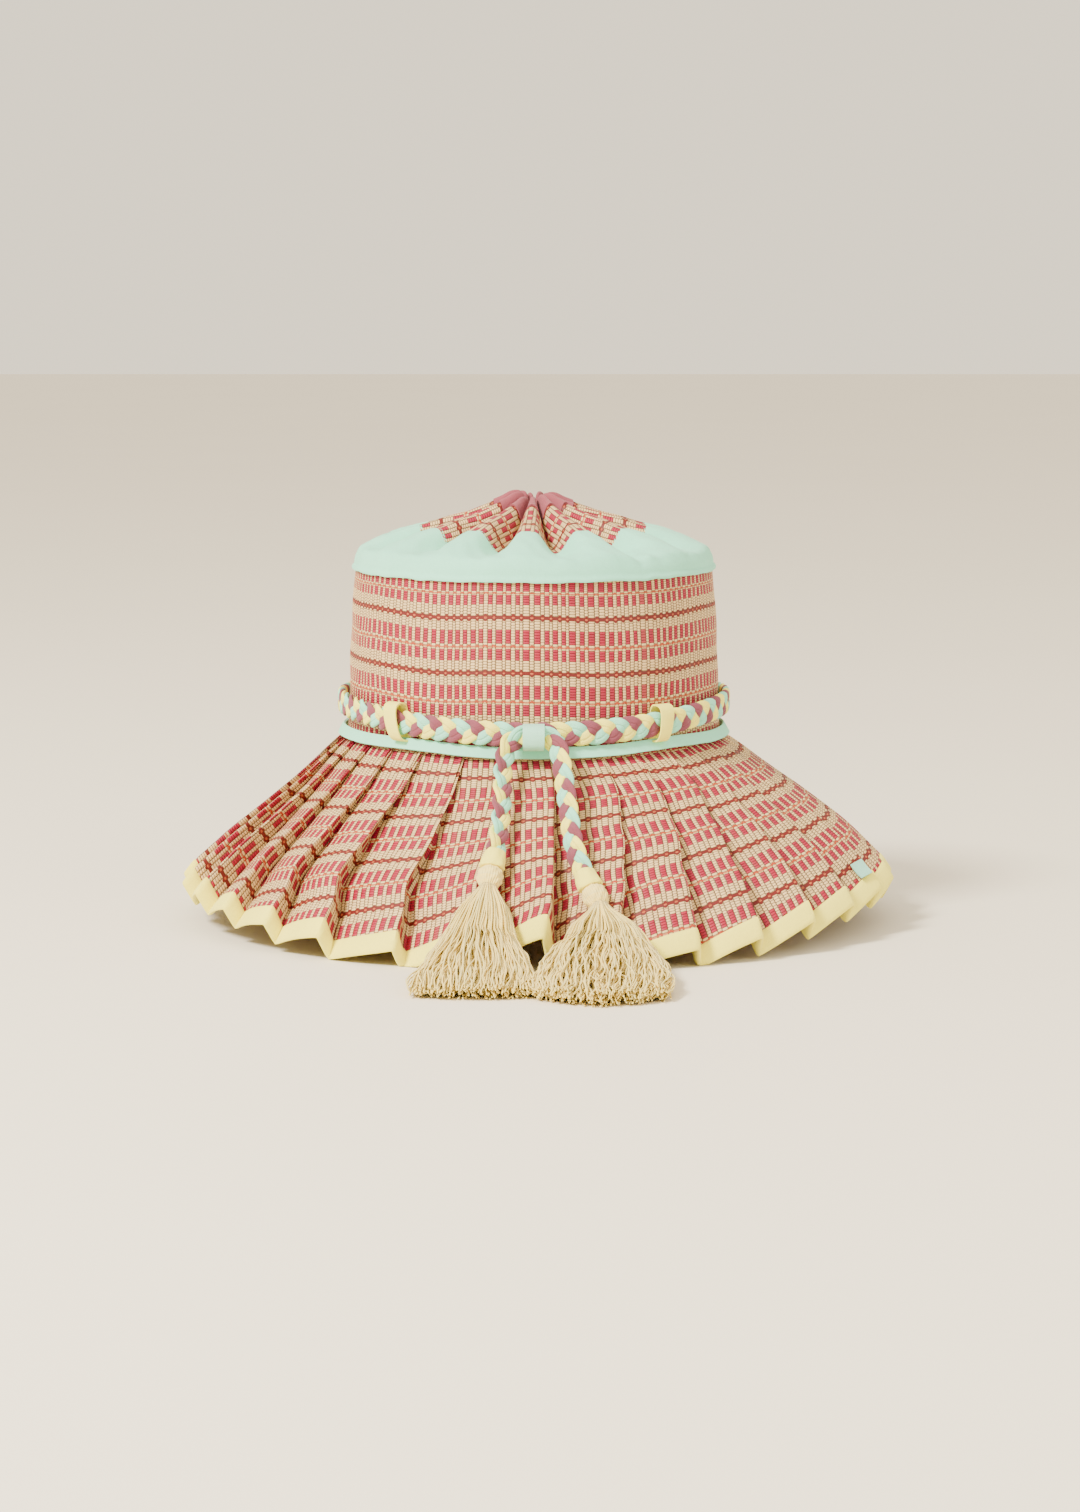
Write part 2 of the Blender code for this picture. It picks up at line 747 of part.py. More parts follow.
def build():
    clear_scene()
    hat = collection("pleated_woven_sun_hat")
    crown_side(hat)
    crown_top_band(hat)
    crown_tip(hat)
    crown_centre(hat)
    slant_end = brim(hat)
    brim_binding(hat, slant_end)
    base_tape(hat)
    braid_band(hat)
    belt_loops(hat)
    front_slider(hat)
    for side, points, spread, reach, skirt_width in (
        ("left", END_LEFT_ROUTE, SPREAD_LEFT, FLOOR_REACH_LEFT, SKIRT_WIDTH_LEFT),
        ("right", END_RIGHT_ROUTE, SPREAD_RIGHT, FLOOR_REACH_RIGHT, SKIRT_WIDTH_RIGHT),
    ):
        route = smooth_route(points, END_THICKNESS)
        flat_cord(f"braid_end_{side}", route, False, END_WIDTH, END_THICKNESS, hat, YELLOW)
        tassel_cap(f"tassel_cap_{side}", route, hat)
        tassel(f"tassel_{side}", route, spread, reach, skirt_width, hat)
    brim_tag(hat, slant_end)


build()
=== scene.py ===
from math import cos, hypot, pi, radians, sin, tau

import bpy
import numpy as np
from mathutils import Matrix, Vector


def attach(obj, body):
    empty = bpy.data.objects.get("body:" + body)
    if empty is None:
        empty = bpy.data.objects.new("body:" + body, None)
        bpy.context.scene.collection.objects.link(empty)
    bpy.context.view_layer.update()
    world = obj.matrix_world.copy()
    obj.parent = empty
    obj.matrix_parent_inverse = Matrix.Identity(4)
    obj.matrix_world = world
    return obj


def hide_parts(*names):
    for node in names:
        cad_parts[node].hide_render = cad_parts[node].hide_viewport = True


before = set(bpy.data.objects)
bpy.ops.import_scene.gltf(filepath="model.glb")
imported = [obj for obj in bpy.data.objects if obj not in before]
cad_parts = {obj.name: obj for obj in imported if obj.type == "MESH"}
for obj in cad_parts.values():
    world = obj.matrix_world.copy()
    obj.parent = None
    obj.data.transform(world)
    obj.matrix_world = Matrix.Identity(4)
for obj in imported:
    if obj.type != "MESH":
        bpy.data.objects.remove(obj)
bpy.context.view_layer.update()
bpy.ops.object.select_all(action="DESELECT")

# The hat stands on a plain pale table and is seen a little from above through a long lens.
# A broad lamp high on the left, a weak one on the right and an even pale room light it.
CAMERA_PLACE = (0.0031, -2.2, 0.3436)
CAMERA_PITCH = 6.79
HAT_MIDDLE = Vector((0, 0, 0.1))
LAMPS = (
    # (place, power, size)
    ((-1.7, -1.6, 2.2), 240, 0.7),
    ((1.9, -1.6, 1.2), 22, 1.6),
)
bpy.ops.object.camera_add(location=CAMERA_PLACE, rotation=(radians(90 - CAMERA_PITCH), 0, 0))
camera = bpy.context.object
camera.data.lens = 103.23
camera.data.sensor_width = 36
bpy.context.scene.camera = camera


def srgb(red, green, blue):
    """A colour as a screen shows it, 0 to 255, as the linear values that a shader takes."""
    return (*(((value / 255 + 0.055) / 1.055) ** 2.4 for value in (red, green, blue)), 1.0)


def new_finish(name, roughness):
    finish = bpy.data.materials.new(name)
    finish.use_nodes = True
    shader = finish.node_tree.nodes["Principled BSDF"]
    shader.inputs["Roughness"].default_value = roughness
    return finish, finish.node_tree, shader


class Number:
    """A number in a shader's node tree. Reckoning with it adds math nodes to the tree."""

    def __init__(self, tree, socket):
        self.tree = tree
        self.socket = socket

    def __add__(self, other):
        return calc(self.tree, "ADD", self, other)

    def __sub__(self, other):
        return calc(self.tree, "SUBTRACT", self, other)

    def __rsub__(self, other):
        return calc(self.tree, "SUBTRACT", other, self)

    def __mul__(self, other):
        return calc(self.tree, "MULTIPLY", self, other)

    def __truediv__(self, other):
        return calc(self.tree, "DIVIDE", self, other)

    def __pow__(self, other):
        return calc(self.tree, "POWER", self, other)

    def __mod__(self, other):
        return calc(self.tree, "FLOORED_MODULO", self, other)

    def __abs__(self):
        return calc(self.tree, "ABSOLUTE", self)


def wire(tree, value, socket):
    """Gives a socket a plain number or colour, or links it to another node's output."""
    value = getattr(value, "socket", value)
    if isinstance(value, bpy.types.NodeSocket):
        tree.links.new(value, socket)
    else:
        socket.default_value = value


def add_node(tree, kind, inputs, **settings):
    """A node with its settings, and with the inputs that are given by number or name."""
    node = tree.nodes.new(f"ShaderNode{kind}")
    for setting, value in settings.items():
        setattr(node, setting, value)
    for key, value in inputs.items():
        wire(tree, value, node.inputs[key])
    return node


def calc(tree, operation, *values):
    node = add_node(tree, "Math", dict(enumerate(values)), operation=operation)
    return Number(tree, node.outputs[0])


def ramp(tree, value, low, high, start=0.0, end=1.0):
    """A soft step of a value between two limits."""
    inputs = dict(enumerate((value, low, high, start, end)))
    node = add_node(tree, "MapRange", inputs, interpolation_type="SMOOTHSTEP")
    return Number(tree, node.outputs[0])


def mix(tree, share, one, other):
    return add_node(tree, "Mix", {0: share, 6: one, 7: other}, data_type="RGBA").outputs[2]


def tint(tree, colour, strength):
    inputs = {0: colour[:3] if isinstance(colour, tuple) else colour, "Scale": strength}
    return add_node(tree, "VectorMath", inputs, operation="SCALE").outputs[0]


def spot(tree, x, y, z=0.0):
    return add_node(tree, "CombineXYZ", {0: x, 1: y, 2: z}).outputs[0]


def noise(tree, place, scale, detail=2.0):
    node = add_node(tree, "TexNoise", {"Vector": place, "Scale": scale, "Detail": detail})
    return Number(tree, node.outputs["Fac"])


def chance(tree, x, y=0.0):
    """A random number from 0 to 1, the same all over one cell."""
    node = add_node(tree, "TexWhiteNoise", {"Vector": spot(tree, x, y)}, noise_dimensions="2D")
    return Number(tree, node.outputs["Value"])


def cloth_place(tree):
    """The cloth's own coordinates, across and along."""
    place = add_node(tree, "UVMap", {}, uv_map="cloth").outputs[0]
    split = add_node(tree, "SeparateXYZ", {0: place})
    return Number(tree, split.outputs[0]), Number(tree, split.outputs[1])


def object_place(tree):
    return add_node(tree, "TexCoord", {}).outputs["Object"]


def relief(tree, shader, height, distance):
    node = add_node(tree, "Bump", {"Distance": distance, "Height": height})
    tree.links.new(node.outputs[0], shader.inputs["Normal"])


TABLE_TONE = srgb(238, 230, 216)
TABLE_GRAIN_TONE = srgb(241, 234, 220)
bpy.ops.mesh.primitive_plane_add(size=14, location=(0, 2, 0))
table = bpy.context.object
table.name = "table"
table_finish, tree, shader = new_finish("pale_table", 0.7)
grain = noise(tree, object_place(tree), 3.0)
wire(tree, mix(tree, grain, TABLE_TONE, TABLE_GRAIN_TONE), shader.inputs["Base Color"])
table.data.materials.append(table_finish)

world = bpy.data.worlds.new("room")
world.use_nodes = True
world.node_tree.nodes["Background"].inputs["Color"].default_value = srgb(252, 238, 212)
world.node_tree.nodes["Background"].inputs["Strength"].default_value = 1.6
bpy.context.scene.world = world
for place, power, size in LAMPS:
    bpy.ops.object.light_add(type="AREA", location=place)
    lamp = bpy.context.object
    lamp.rotation_euler = (HAT_MIDDLE - Vector(place)).to_track_quat("-Z", "Y").to_euler()
    lamp.data.energy = power
    lamp.data.size = size
    lamp.data.color = srgb(255, 246, 228)[:3]

# The belt's two hanging ends: flat three-strand braids of folded cotton strips, mint, mauve
# and yellow. They leave the slider sideways, turn down and lie on the pleated brim.
GAP = 0.0003
MILLIMETRES = 1000
END_LENGTH_STEP = 0.001
END_WIDTH = 0.0092
END_PERIOD_LEFT = 0.0265
END_PERIOD_RIGHT = 0.0253
# The swing and the half width are shares of the braid's width.
STRAND_SWING = 0.29
STRAND_HALF_WIDTH = 0.30
STRAND_DEPTH = 0.00125
STRAND_HALF_DEPTH = 0.0010
STRAND_SIDES = 14
STRAND_DOME = 0.55
STRAND_FOLD = 3.1
STRAND_CLOTH_WIDTH = 5.6
BRIM_FACING = Vector((0.0, -1.0, 1.0))
MINT = srgb(146, 230, 200)
MAUVE = srgb(130, 62, 80)
YELLOW = srgb(250, 240, 104)
THREAD_PITCH = 0.9
END_LEFT_ROUTE = (
    (-0.0006, -0.1034, 0.1037),
    (-0.0060, -0.1035, 0.1035),
    (-0.0106, -0.1050, 0.1012),
    (-0.0136, -0.1090, 0.0960),
    (-0.0148, -0.1145, 0.0885),
    (-0.0150, -0.1215, 0.0800),
    (-0.0155, -0.1290, 0.0713),
    (-0.0162, -0.1365, 0.0625),
    (-0.0184, -0.1455, 0.0522),
)
END_RIGHT_ROUTE = (
    (0.0006, -0.1034, 0.1037),
    (0.0060, -0.1035, 0.1034),
    (0.0102, -0.1052, 0.1008),
    (0.0128, -0.1094, 0.0952),
    (0.0142, -0.1155, 0.0870),
    (0.0158, -0.1235, 0.0775),
    (0.0172, -0.1315, 0.0682),
    (0.0186, -0.1395, 0.0590),
    (0.0212, -0.1475, 0.0497),
    (0.0242, -0.1530, 0.0435),
)


def unit(vectors):
    return vectors / np.linalg.norm(vectors, axis=-1, keepdims=True)


def on_line(marks, reached, line):
    """What a line holds at its points, in between them at marks along its length."""
    return np.stack([np.interp(marks, reached, line[:, k]) for k in range(3)], -1)


def smooth_route(points, spacing):
    """Points at an even spacing along the smooth curve through a route's own points."""
    spots = np.array(points, float)
    spots = np.vstack([2 * spots[0] - spots[1], spots, 2 * spots[-1] - spots[-2]])
    fine = []
    for a, b, c, d in zip(spots, spots[1:], spots[2:], spots[3:]):
        for t in np.arange(12) / 12:
            fine.append(
                0.5 * (2 * b + (c - a) * t + (2 * a - 5 * b + 4 * c - d) * t * t)
                + 0.5 * (3 * b - a - 3 * c + d) * t**3
            )
    fine = np.array([*fine, spots[-2]])
    reached = np.append(0, np.cumsum(np.linalg.norm(np.diff(fine, axis=0), axis=1)))
    marks = np.linspace(0, reached[-1], max(2, round(reached[-1] / spacing)) + 1)
    return on_line(marks, reached, fine), marks


def lay_cloth(name, points, across, along, finish):
    """A sheet from rows of points, first row lowest or outermost, columns by azimuth.

    Across holds the points' places across the cloth, or else a pair with the places of the
    faces' left and right edges. Along holds the points' places along it.
    """
    rows, columns = points.shape[:2]
    if not isinstance(across, tuple):
        across = np.broadcast_to(across, (rows, columns))
        across = across[:, :-1], across[:, 1:]
    left, right = across
    along = np.broadcast_to(along, (rows, columns))
    bpy.ops.mesh.primitive_grid_add(
        x_subdivisions=columns - 1, y_subdivisions=rows - 1, size=1, calc_uvs=False
    )
    piece = bpy.context.object
    piece.name = name
    mesh = piece.data
    flat = np.empty(len(mesh.vertices) * 3)
    mesh.vertices.foreach_get("co", flat)
    flat = flat.reshape(-1, 3)
    column = np.rint((flat[:, 0] + 0.5) * (columns - 1)).astype(int)
    row = np.rint((flat[:, 1] + 0.5) * (rows - 1)).astype(int)
    mesh.vertices.foreach_set("co", points[row, column].ravel())
    corners = np.empty(len(mesh.loops), int)
    mesh.loops.foreach_get("vertex_index", corners)
    column = column[corners].reshape(-1, 4)
    row = row[corners].reshape(-1, 4)
    first = column.min(axis=1, keepdims=True)
    sideways = np.where(column == first, left[row, first], right[row, first])
    places = np.stack([sideways, along[row, column]], -1)
    mesh.uv_layers.new(name="cloth").data.foreach_set("uv", places.ravel())
    mesh.materials.append(finish)
    mesh.update()
    return piece


def close_up(piece, fill=False):
    """Merges the sheet's meeting edges, and fills its open ends."""
    bpy.context.view_layer.objects.active = piece
    bpy.ops.object.mode_set(mode="EDIT")
    bpy.ops.mesh.select_all(action="SELECT")
    bpy.ops.mesh.remove_doubles(threshold=0.00001)
    if fill:
        bpy.ops.mesh.fill_holes(sides=400)
    bpy.ops.object.mode_set(mode="OBJECT")


def soften(piece, degrees):
    bpy.ops.object.select_all(action="DESELECT")
    piece.select_set(True)
    bpy.context.view_layer.objects.active = piece
    bpy.ops.object.shade_smooth_by_angle(angle=radians(degrees))
    piece.select_set(False)


def sew(piece, wall, degrees):
    """Closes a sheet round the hat and gives it a wall on its inner side."""
    close_up(piece)
    shell = piece.modifiers.new("Wall", "SOLIDIFY")
    shell.thickness = wall
    shell.offset = -1.0
    bpy.ops.object.modifier_apply(modifier="Wall")
    soften(piece, degrees)


def join(name, parts):
    bpy.ops.object.select_all(action="DESELECT")
    for part in parts:
        part.select_set(True)
    bpy.context.view_layer.objects.active = parts[0]
    bpy.ops.object.join()
    joined = bpy.context.object
    joined.name = name
    bpy.ops.object.select_all(action="DESELECT")
    return joined


def take_place(piece, node):
    """The whole hat is one body, and each piece shows in place of one of its solids."""
    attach(piece, "root")
    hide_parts(node)


def cotton(name, tone, slubs=0.05, creases=0.0003, folded=False):
    """Matte plain-weave cotton: fine crossing threads, uneven yarn and faint creases."""
    finish, tree, shader = new_finish(name, 0.86)
    across, along = cloth_place(tree)
    warp = calc(tree, "SINE", across * (tau / THREAD_PITCH))
    weft = calc(tree, "SINE", along * (tau / THREAD_PITCH))
    threads = warp * weft
    yarn = noise(tree, spot(tree, across * 0.25, along), 1.6, 3.0)
    other_yarn = noise(tree, spot(tree, across, along * 0.25, 9.0), 1.6, 3.0)
    uneven = yarn + other_yarn + noise(tree, object_place(tree), 45.0, 3.0) * 1.6
    shade = ramp(tree, uneven, 1.2, 2.4, 1 - slubs, 1 + slubs) + threads * 0.02
    wire(tree, tint(tree, tone, shade), shader.inputs["Base Color"])
    height = threads * 0.16 + uneven * 0.35
    if folded:
        height = height + ramp(tree, abs(across - STRAND_FOLD), 0.05, 0.45, 0.0, 0.9)
    relief(tree, shader, height, creases)
    shader.inputs["Sheen Weight"].default_value = 0.15
    return finish


strand_finishes = {
    "yellow": cotton("yellow_strand", YELLOW, folded=True),
    "mint": cotton("mint_strand", MINT, folded=True),
    "mauve": cotton("mauve_strand", MAUVE, 0.08, folded=True),
}


def braid(name, line, reached, across, out, width, period, colours, start, lead):
    """Three flat strands plaited along a line, to a width. The first colour is at the angle
    start at the line's beginning, and lead is 1 or -1 for the way that the plait points."""
    strands = []
    turns = np.linspace(0, tau, STRAND_SIDES + 1)
    dome = np.abs(np.sin(turns)) ** STRAND_DOME * np.sign(np.sin(turns))
    for number, colour in enumerate(colours):
        angle = tau * (reached / period - number / 3) + start
        side = STRAND_SWING * width * np.sin(angle)
        depth = -lead * STRAND_DEPTH * np.sin(2 * angle)
        middle = line + across * side[:, None] + out * depth[:, None]
        way = unit(np.gradient(middle, axis=0))
        lifted = unit(out - way * np.sum(out * way, axis=1, keepdims=True))
        wide = unit(np.cross(way, lifted))
        wide = wide * np.sign(np.sum(wide * across, axis=1, keepdims=True))
        lifted = np.cross(way, wide)
        points = (
            middle[:, None]
            + wide[:, None] * (STRAND_HALF_WIDTH * width * np.cos(turns))[:, None]
            + lifted[:, None] * (STRAND_HALF_DEPTH * dome)[:, None]
        )
        rim = STRAND_CLOTH_WIDTH * turns / pi
        along = (reached * MILLIMETRES + 40 * number)[:, None]
        strand = lay_cloth(f"{name}_{colour}", points, rim, along, strand_finishes[colour])
        close_up(strand, fill=True)
        soften(strand, 50)
        strands.append(strand)
    return join(name, strands)


def carried_frame(line, first_across):
    """Across and outward directions carried along a line without twisting."""
    way = unit(np.gradient(line, axis=0))
    across = [np.array(first_across, float)]
    for step in way[1:]:
        last = across[-1]
        last = last - step * np.dot(last, step)
        across.append(last / np.linalg.norm(last))
    across = np.array(across)
    return across, np.cross(way, across)


end_lines = {}
for side, route, first, period, colours, yellow_place, angle, lead in (
    ("left", END_LEFT_ROUTE, (0, 0, -1), END_PERIOD_LEFT,
     ("yellow", "mauve", "mint"), 0.0431, 7 * pi / 4, 1),
    ("right", END_RIGHT_ROUTE, (0, 0, 1), END_PERIOD_RIGHT,
     ("yellow", "mint", "mauve"), 0.0580, 5 * pi / 4, -1),
):
    line, reached = smooth_route(route, END_LENGTH_STEP)
    across, out = carried_frame(line, first)
    start = angle - tau * yellow_place / period
    piece = braid(
        f"hanging_end_{side}", line, reached, across, out, END_WIDTH, period, colours, start, lead
    )
    take_place(piece, f"braid_end_{side}")
    end_lines[side] = (line, reached)

# A short yellow cotton wrap hides where each braid is tied into its tassel. It is a strip
# wound round twice and tucked in, so it swells a little and ends in a turned edge.
CAP_LENGTH = 0.0085
CAP_ROWS = 12
CAP_SIDES = 40
CAP_FLATNESS = 0.84
yellow_wrap = cotton("yellow_wrap", YELLOW, 0.06)


def end_frame(line):
    end = Vector(line[-1])
    along = (end - Vector(line[-6])).normalized()
    out = (BRIM_FACING - along * along.dot(BRIM_FACING)).normalized()
    across = out.cross(along)
    return end, along, across, out


def sleeve_points(middle, along, across, out, levels, turns, widths, depths):
    """Rings round an axis: levels along it, with a half width and a half depth each."""
    middle, along, across, out = (np.array(v, float) for v in (middle, along, across, out))
    return (
        middle
        + along * levels[:, None, None]
        + across * (widths * np.cos(turns))[..., None]
        + out * (depths * np.sin(turns))[..., None]
    )


for side, (line, reached) in end_lines.items():
    levels = np.linspace(-0.0012, CAP_LENGTH + 0.0006, CAP_ROWS)
    turns = np.linspace(0, tau, CAP_SIDES + 1)
    share = np.linspace(0, 1, CAP_ROWS)[:, None]
    swell = 0.0046 + 0.0014 * share**0.7 + 0.0003 * np.sin(pi * share)
    folds = 0.00022 * np.sin(3 * turns + 5 * share + 1.3) + 0.00014 * np.sin(7 * turns - 4 * share)
    ridge = 0.00035 * np.exp(-(((share - 0.9 - 0.05 * np.sin(turns)) / 0.07) ** 2))
    radius = swell + folds + ridge
    radius[0] *= 0.9
    radius[-1] *= 0.93
    points = sleeve_points(*end_frame(line), levels, turns, radius, radius * CAP_FLATNESS)
    height = (levels * MILLIMETRES)[:, None]
    wrap = lay_cloth(f"wrap_{side}", points, turns * 6, height, yellow_wrap)
    close_up(wrap, fill=True)
    soften(wrap, 60)
    take_place(wrap, f"tassel_cap_{side}")

# The tassels: several hundred crimped undyed cotton threads, folded over, bound into a small
# round head and cut level. They spread over the brim's edge and lie on the table.
BRIM_ROOT_R = 0.0962
BRIM_ROOT_Z = 0.0898
BRIM_EDGE_R = 0.174
PLEAT_DEPTH = 0.0085
SIDE_LIFT = 0.0125
SIDE_TILT = 0.0015
RIGHT_REACH = 0.0045
RIGHT_BULGE = 0.0035
LIFT_START = radians(20)
LIFT_FULL = radians(72)
TIP_SINK = 0.0010
SEAM_RISE = 0.0024
HEAD_LENGTH = 0.0100
HEAD_ROWS = 15
SKIRT_THICKNESS = 0.016
THREADS = 560
THREAD_RINGS = 22
FAN_PLACES = (0.0, 0.04, 0.13, 0.28, 0.46, 0.70, 1.0)
FAN_DEPTHS = (0.0036, 0.0046, 0.0066, 0.0078, 0.0076, 0.0064, 0.0030)
CRIMPS = ((1.3, 0.0018, 0), (3.0, 0.0006, 1), (6.0, 0.00012, 1))  # (count, size, curls)
THREAD_R = 0.00044
COTTON = srgb(252, 234, 150)
DEEP_COTTON = srgb(248, 220, 122)


def step_share(value):
    value = np.clip(value, 0.0, 1.0)
    return value * value * (3 - 2 * value)


def round_points(radius, azimuth, height):
    """Points round the hat, with azimuths counted from the front to the viewer's right."""
    places = radius * np.sin(azimuth), -radius * np.cos(azimuth), height
    return np.stack(np.broadcast_arrays(*places), -1)


def from_front(azimuth):
    """The same azimuth between -pi and pi."""
    return np.arctan2(np.sin(azimuth), np.cos(azimuth))


def sideways_turn(azimuth):
    """The angle from the front or the back, whichever is nearer."""
    turned = np.abs(from_front(azimuth))
    return np.minimum(turned, pi - turned)


def seam_rise(azimuth):
    """The seam between crown and brim lies a little higher at both sides."""
    return SEAM_RISE * step_share(sideways_turn(azimuth) / radians(60))


def brim_line(azimuth):
    """How far the valley line runs out and drops at an azimuth, and its length."""
    side = step_share((sideways_turn(azimuth) - LIFT_START) / (LIFT_FULL - LIFT_START))
    right = step_share(np.sin(azimuth) / 0.4)
    run = BRIM_EDGE_R + RIGHT_REACH * right - BRIM_ROOT_R
    drop = BRIM_ROOT_Z - (SIDE_LIFT + SIDE_TILT * np.sin(azimuth)) * side + TIP_SINK
    return run, drop, np.hypot(run, drop), right


def on_brim(slant, azimuth, height):
    """Points at a share of the slant and a height above the valley lines."""
    run, drop, length, right = brim_line(azimuth)
    height = height + RIGHT_BULGE * right * 4 * slant * np.maximum(0.0, 1 - slant)
    radius = BRIM_ROOT_R + run * slant + height * drop / length
    lift = BRIM_ROOT_Z - drop * slant + height * run / length
    lift = lift + seam_rise(azimuth) * (1 - step_share(slant / 0.35))
    return round_points(radius, azimuth, lift)


thread_finish, tree, shader = new_finish("tassel_cotton", 0.88)
across, along = cloth_place(tree)
each = chance(tree, calc(tree, "FLOOR", across))
ply = calc(tree, "SINE", along * (tau / 1.3))
fluff = noise(tree, object_place(tree), 260.0, 3.0)
shade = ramp(tree, each, 0.0, 1.0, 0.90, 1.08) + ply * 0.025 + (fluff - 0.5) * 0.12
tone = mix(tree, each, COTTON, DEEP_COTTON)
wire(tree, tint(tree, tone, shade), shader.inputs["Base Color"])
relief(tree, shader, ply + fluff, 0.00012)
shader.inputs["Sheen Weight"].default_value = 0.2


def tassel_route(start, spread, reach):
    """From the head down the brim, over its edge and along the table."""
    azimuth = np.arctan2(start[0], -start[1])
    slant = (hypot(start[0], start[1]) - BRIM_ROOT_R) / (BRIM_EDGE_R - BRIM_ROOT_R)
    above = PLEAT_DEPTH + 2 * GAP + SKIRT_THICKNESS / 2
    stops = [start]
    for share in (0.4, 0.8):
        stops.append(on_brim(slant + (1 - slant) * share, azimuth, above + 0.003 * share))
    last = stops[-1]
    edge = on_brim(1.04, azimuth, above)
    run = last[1] - edge[1] + reach
    for part in (0.2, 0.4, 0.6, 0.8, 1.0):
        aside = last[0] + (edge[0] - last[0]) * min(1.0, 3 * part)
        high = 0.003 + (last[2] - 0.003) * (1 - part) ** 2
        stops.append(np.array((aside, last[1] - run * part, high)))
    for number, stop in enumerate(stops):
        stops[number] = stop + np.array((spread * number / (len(stops) - 1), 0, 0))
    return smooth_route(stops, 0.002)


def tassel(name, line, spread, reach, width, fans, level, curl, seed):
    """Threads from the bound head over the edge and down to the table, and the head itself."""
    random = np.random.default_rng(seed)
    end, along, across, out = end_frame(line)
    top = np.array(end + along * (2 * GAP + CAP_LENGTH))
    whole, reached = tassel_route(top + np.array(along) * HEAD_LENGTH, spread, reach)
    total = reached[-1]
    marks = reached / total
    way = unit(np.gradient(whole, axis=0))
    side_way = unit(np.cross(way, np.array((0.0, 0.0, 1.0))))
    out_way = unit(np.cross(side_way, way))
    fan_halves = (0.0034, 0.0052, *(0.5 * width * fan for fan in fans))
    halves = np.interp(marks, FAN_PLACES, fan_halves)
    thick = np.interp(marks, FAN_PLACES, FAN_DEPTHS)
    a = np.sin(random.uniform(-1.25, 1.25, THREADS)) / sin(1.25)
    b = random.uniform(-0.7, 1.0, THREADS) * np.sqrt(1 - a**2)
    lengths = random.uniform(0.90, 0.99, THREADS) + 0.03 * np.clip(b, 0, 1)
    lengths = (1 - level * a**2) * lengths
    t = np.linspace(0, 1, THREAD_RINGS)[None] * lengths[:, None]
    a, b = a[:, None], b[:, None]
    wander = np.zeros((2, *t.shape))
    for count, size, curls in CRIMPS:
        for number in (0, 1):
            phase = random.uniform(0, tau, (THREADS, 1))
            rate = count * random.uniform(0.7, 1.3, (THREADS, 1))
            grow = t**0.6 * size * curl**curls * random.uniform(0.4, 1.5, (THREADS, 1))
            wander[number] += grow * np.sin(tau * rate * t + phase)
    drift = random.normal(0, 0.07, (THREADS, 1)) * t
    sideways = (a + drift) * np.interp(t, marks, halves) + wander[0]
    outward = b * np.interp(t, marks, thick) + wander[1] * 0.8
    points = (
        on_line(t, marks, whole)
        + on_line(t, marks, side_way) * sideways[..., None]
        + on_line(t, marks, out_way) * outward[..., None]
    )
    low = THREAD_R + 0.0025 * np.clip(b + 0.7, 0, 1) * (1 - np.abs(a))
    points[..., 2] = np.maximum(points[..., 2], low)
    heading = unit(np.gradient(points, axis=1))
    first = unit(np.cross(heading, np.array((0.3, 0.2, 1.0))))
    second = np.cross(heading, first)
    thin = THREAD_R * random.uniform(0.8, 1.15, (THREADS, 1, 1))
    corners = []
    for turn in (0, tau / 3, 2 * tau / 3):
        corners.append(points + thin * (first * cos(turn) + second * sin(turn)))
    vertices = np.stack(corners, 2).reshape(-1, 3)
    base = np.arange(THREADS)[:, None, None] * THREAD_RINGS * 3
    step = np.arange(THREAD_RINGS - 1)[None, :, None] * 3
    here = base + step + np.arange(3)[None, None]
    after = base + step + (np.arange(3)[None, None] + 1) % 3
    quads = np.stack([here, after, after + 3, here + 3], -1).reshape(-1, 4)
    tops = base[:, 0] + np.array([[2, 1, 0]])
    feet = base[:, 0] + (THREAD_RINGS - 1) * 3 + np.array([[0, 1, 2]])
    mesh = bpy.data.meshes.new(name)
    mesh.from_pydata(vertices.tolist(), [], quads.tolist() + tops.tolist() + feet.tolist())
    owner = np.repeat(np.arange(THREADS), THREAD_RINGS * 3)
    travel = np.repeat((t * total * MILLIMETRES).ravel(), 3)
    corner = np.empty(len(mesh.loops), int)
    mesh.loops.foreach_get("vertex_index", corner)
    places = np.stack([owner[corner] + 0.5, travel[corner]], -1)
    mesh.uv_layers.new(name="cloth").data.foreach_set("uv", places.ravel())
    mesh.materials.append(thread_finish)
    mesh.polygons.foreach_set("use_smooth", np.ones(len(mesh.polygons), bool))
    threads = bpy.data.objects.new(name, mesh)
    bpy.context.scene.collection.objects.link(threads)
    share = np.linspace(0, 1, HEAD_ROWS)[:, None]
    turns = np.linspace(0, tau, 41)
    swell = np.interp(
        share, (0, 0.1, 0.3, 0.6, 0.85, 1), (0.0042, 0.0053, 0.0061, 0.0061, 0.0049, 0.0036)
    )
    swell = swell + 0.00022 * np.sin(5 * turns + 9 * share + seed)
    swell = swell + 0.00018 * np.sin(9 * turns - 14 * share)
    levels = share[:, 0] * (HEAD_LENGTH + 0.0012)
    points = sleeve_points(top, along, across, out, levels, turns, swell, swell * 0.88)
    wound = share * 13 + turns / tau + 2000.5
    head = lay_cloth(f"{name}_head", points, wound, turns * 6, thread_finish)
    close_up(head, fill=True)
    return join(name, [threads, head])


for side, spread, reach, width, fans, level, curl, seed in (
    ("left", -0.002, 0.070, 0.055, (0.40, 0.61, 0.79, 0.98, 1.00), 0.05, 0.9, 11),
    ("right", -0.006, 0.088, 0.062, (0.52, 0.76, 0.93, 1.00, 0.88), 0.15, 2.2, 12),
):
    line, reached = end_lines[side]
    name = f"thread_tassel_{side}"
    piece = tassel(name, line, spread, reach, width, fans, level, curl, seed)
    take_place(piece, f"tassel_{side}")

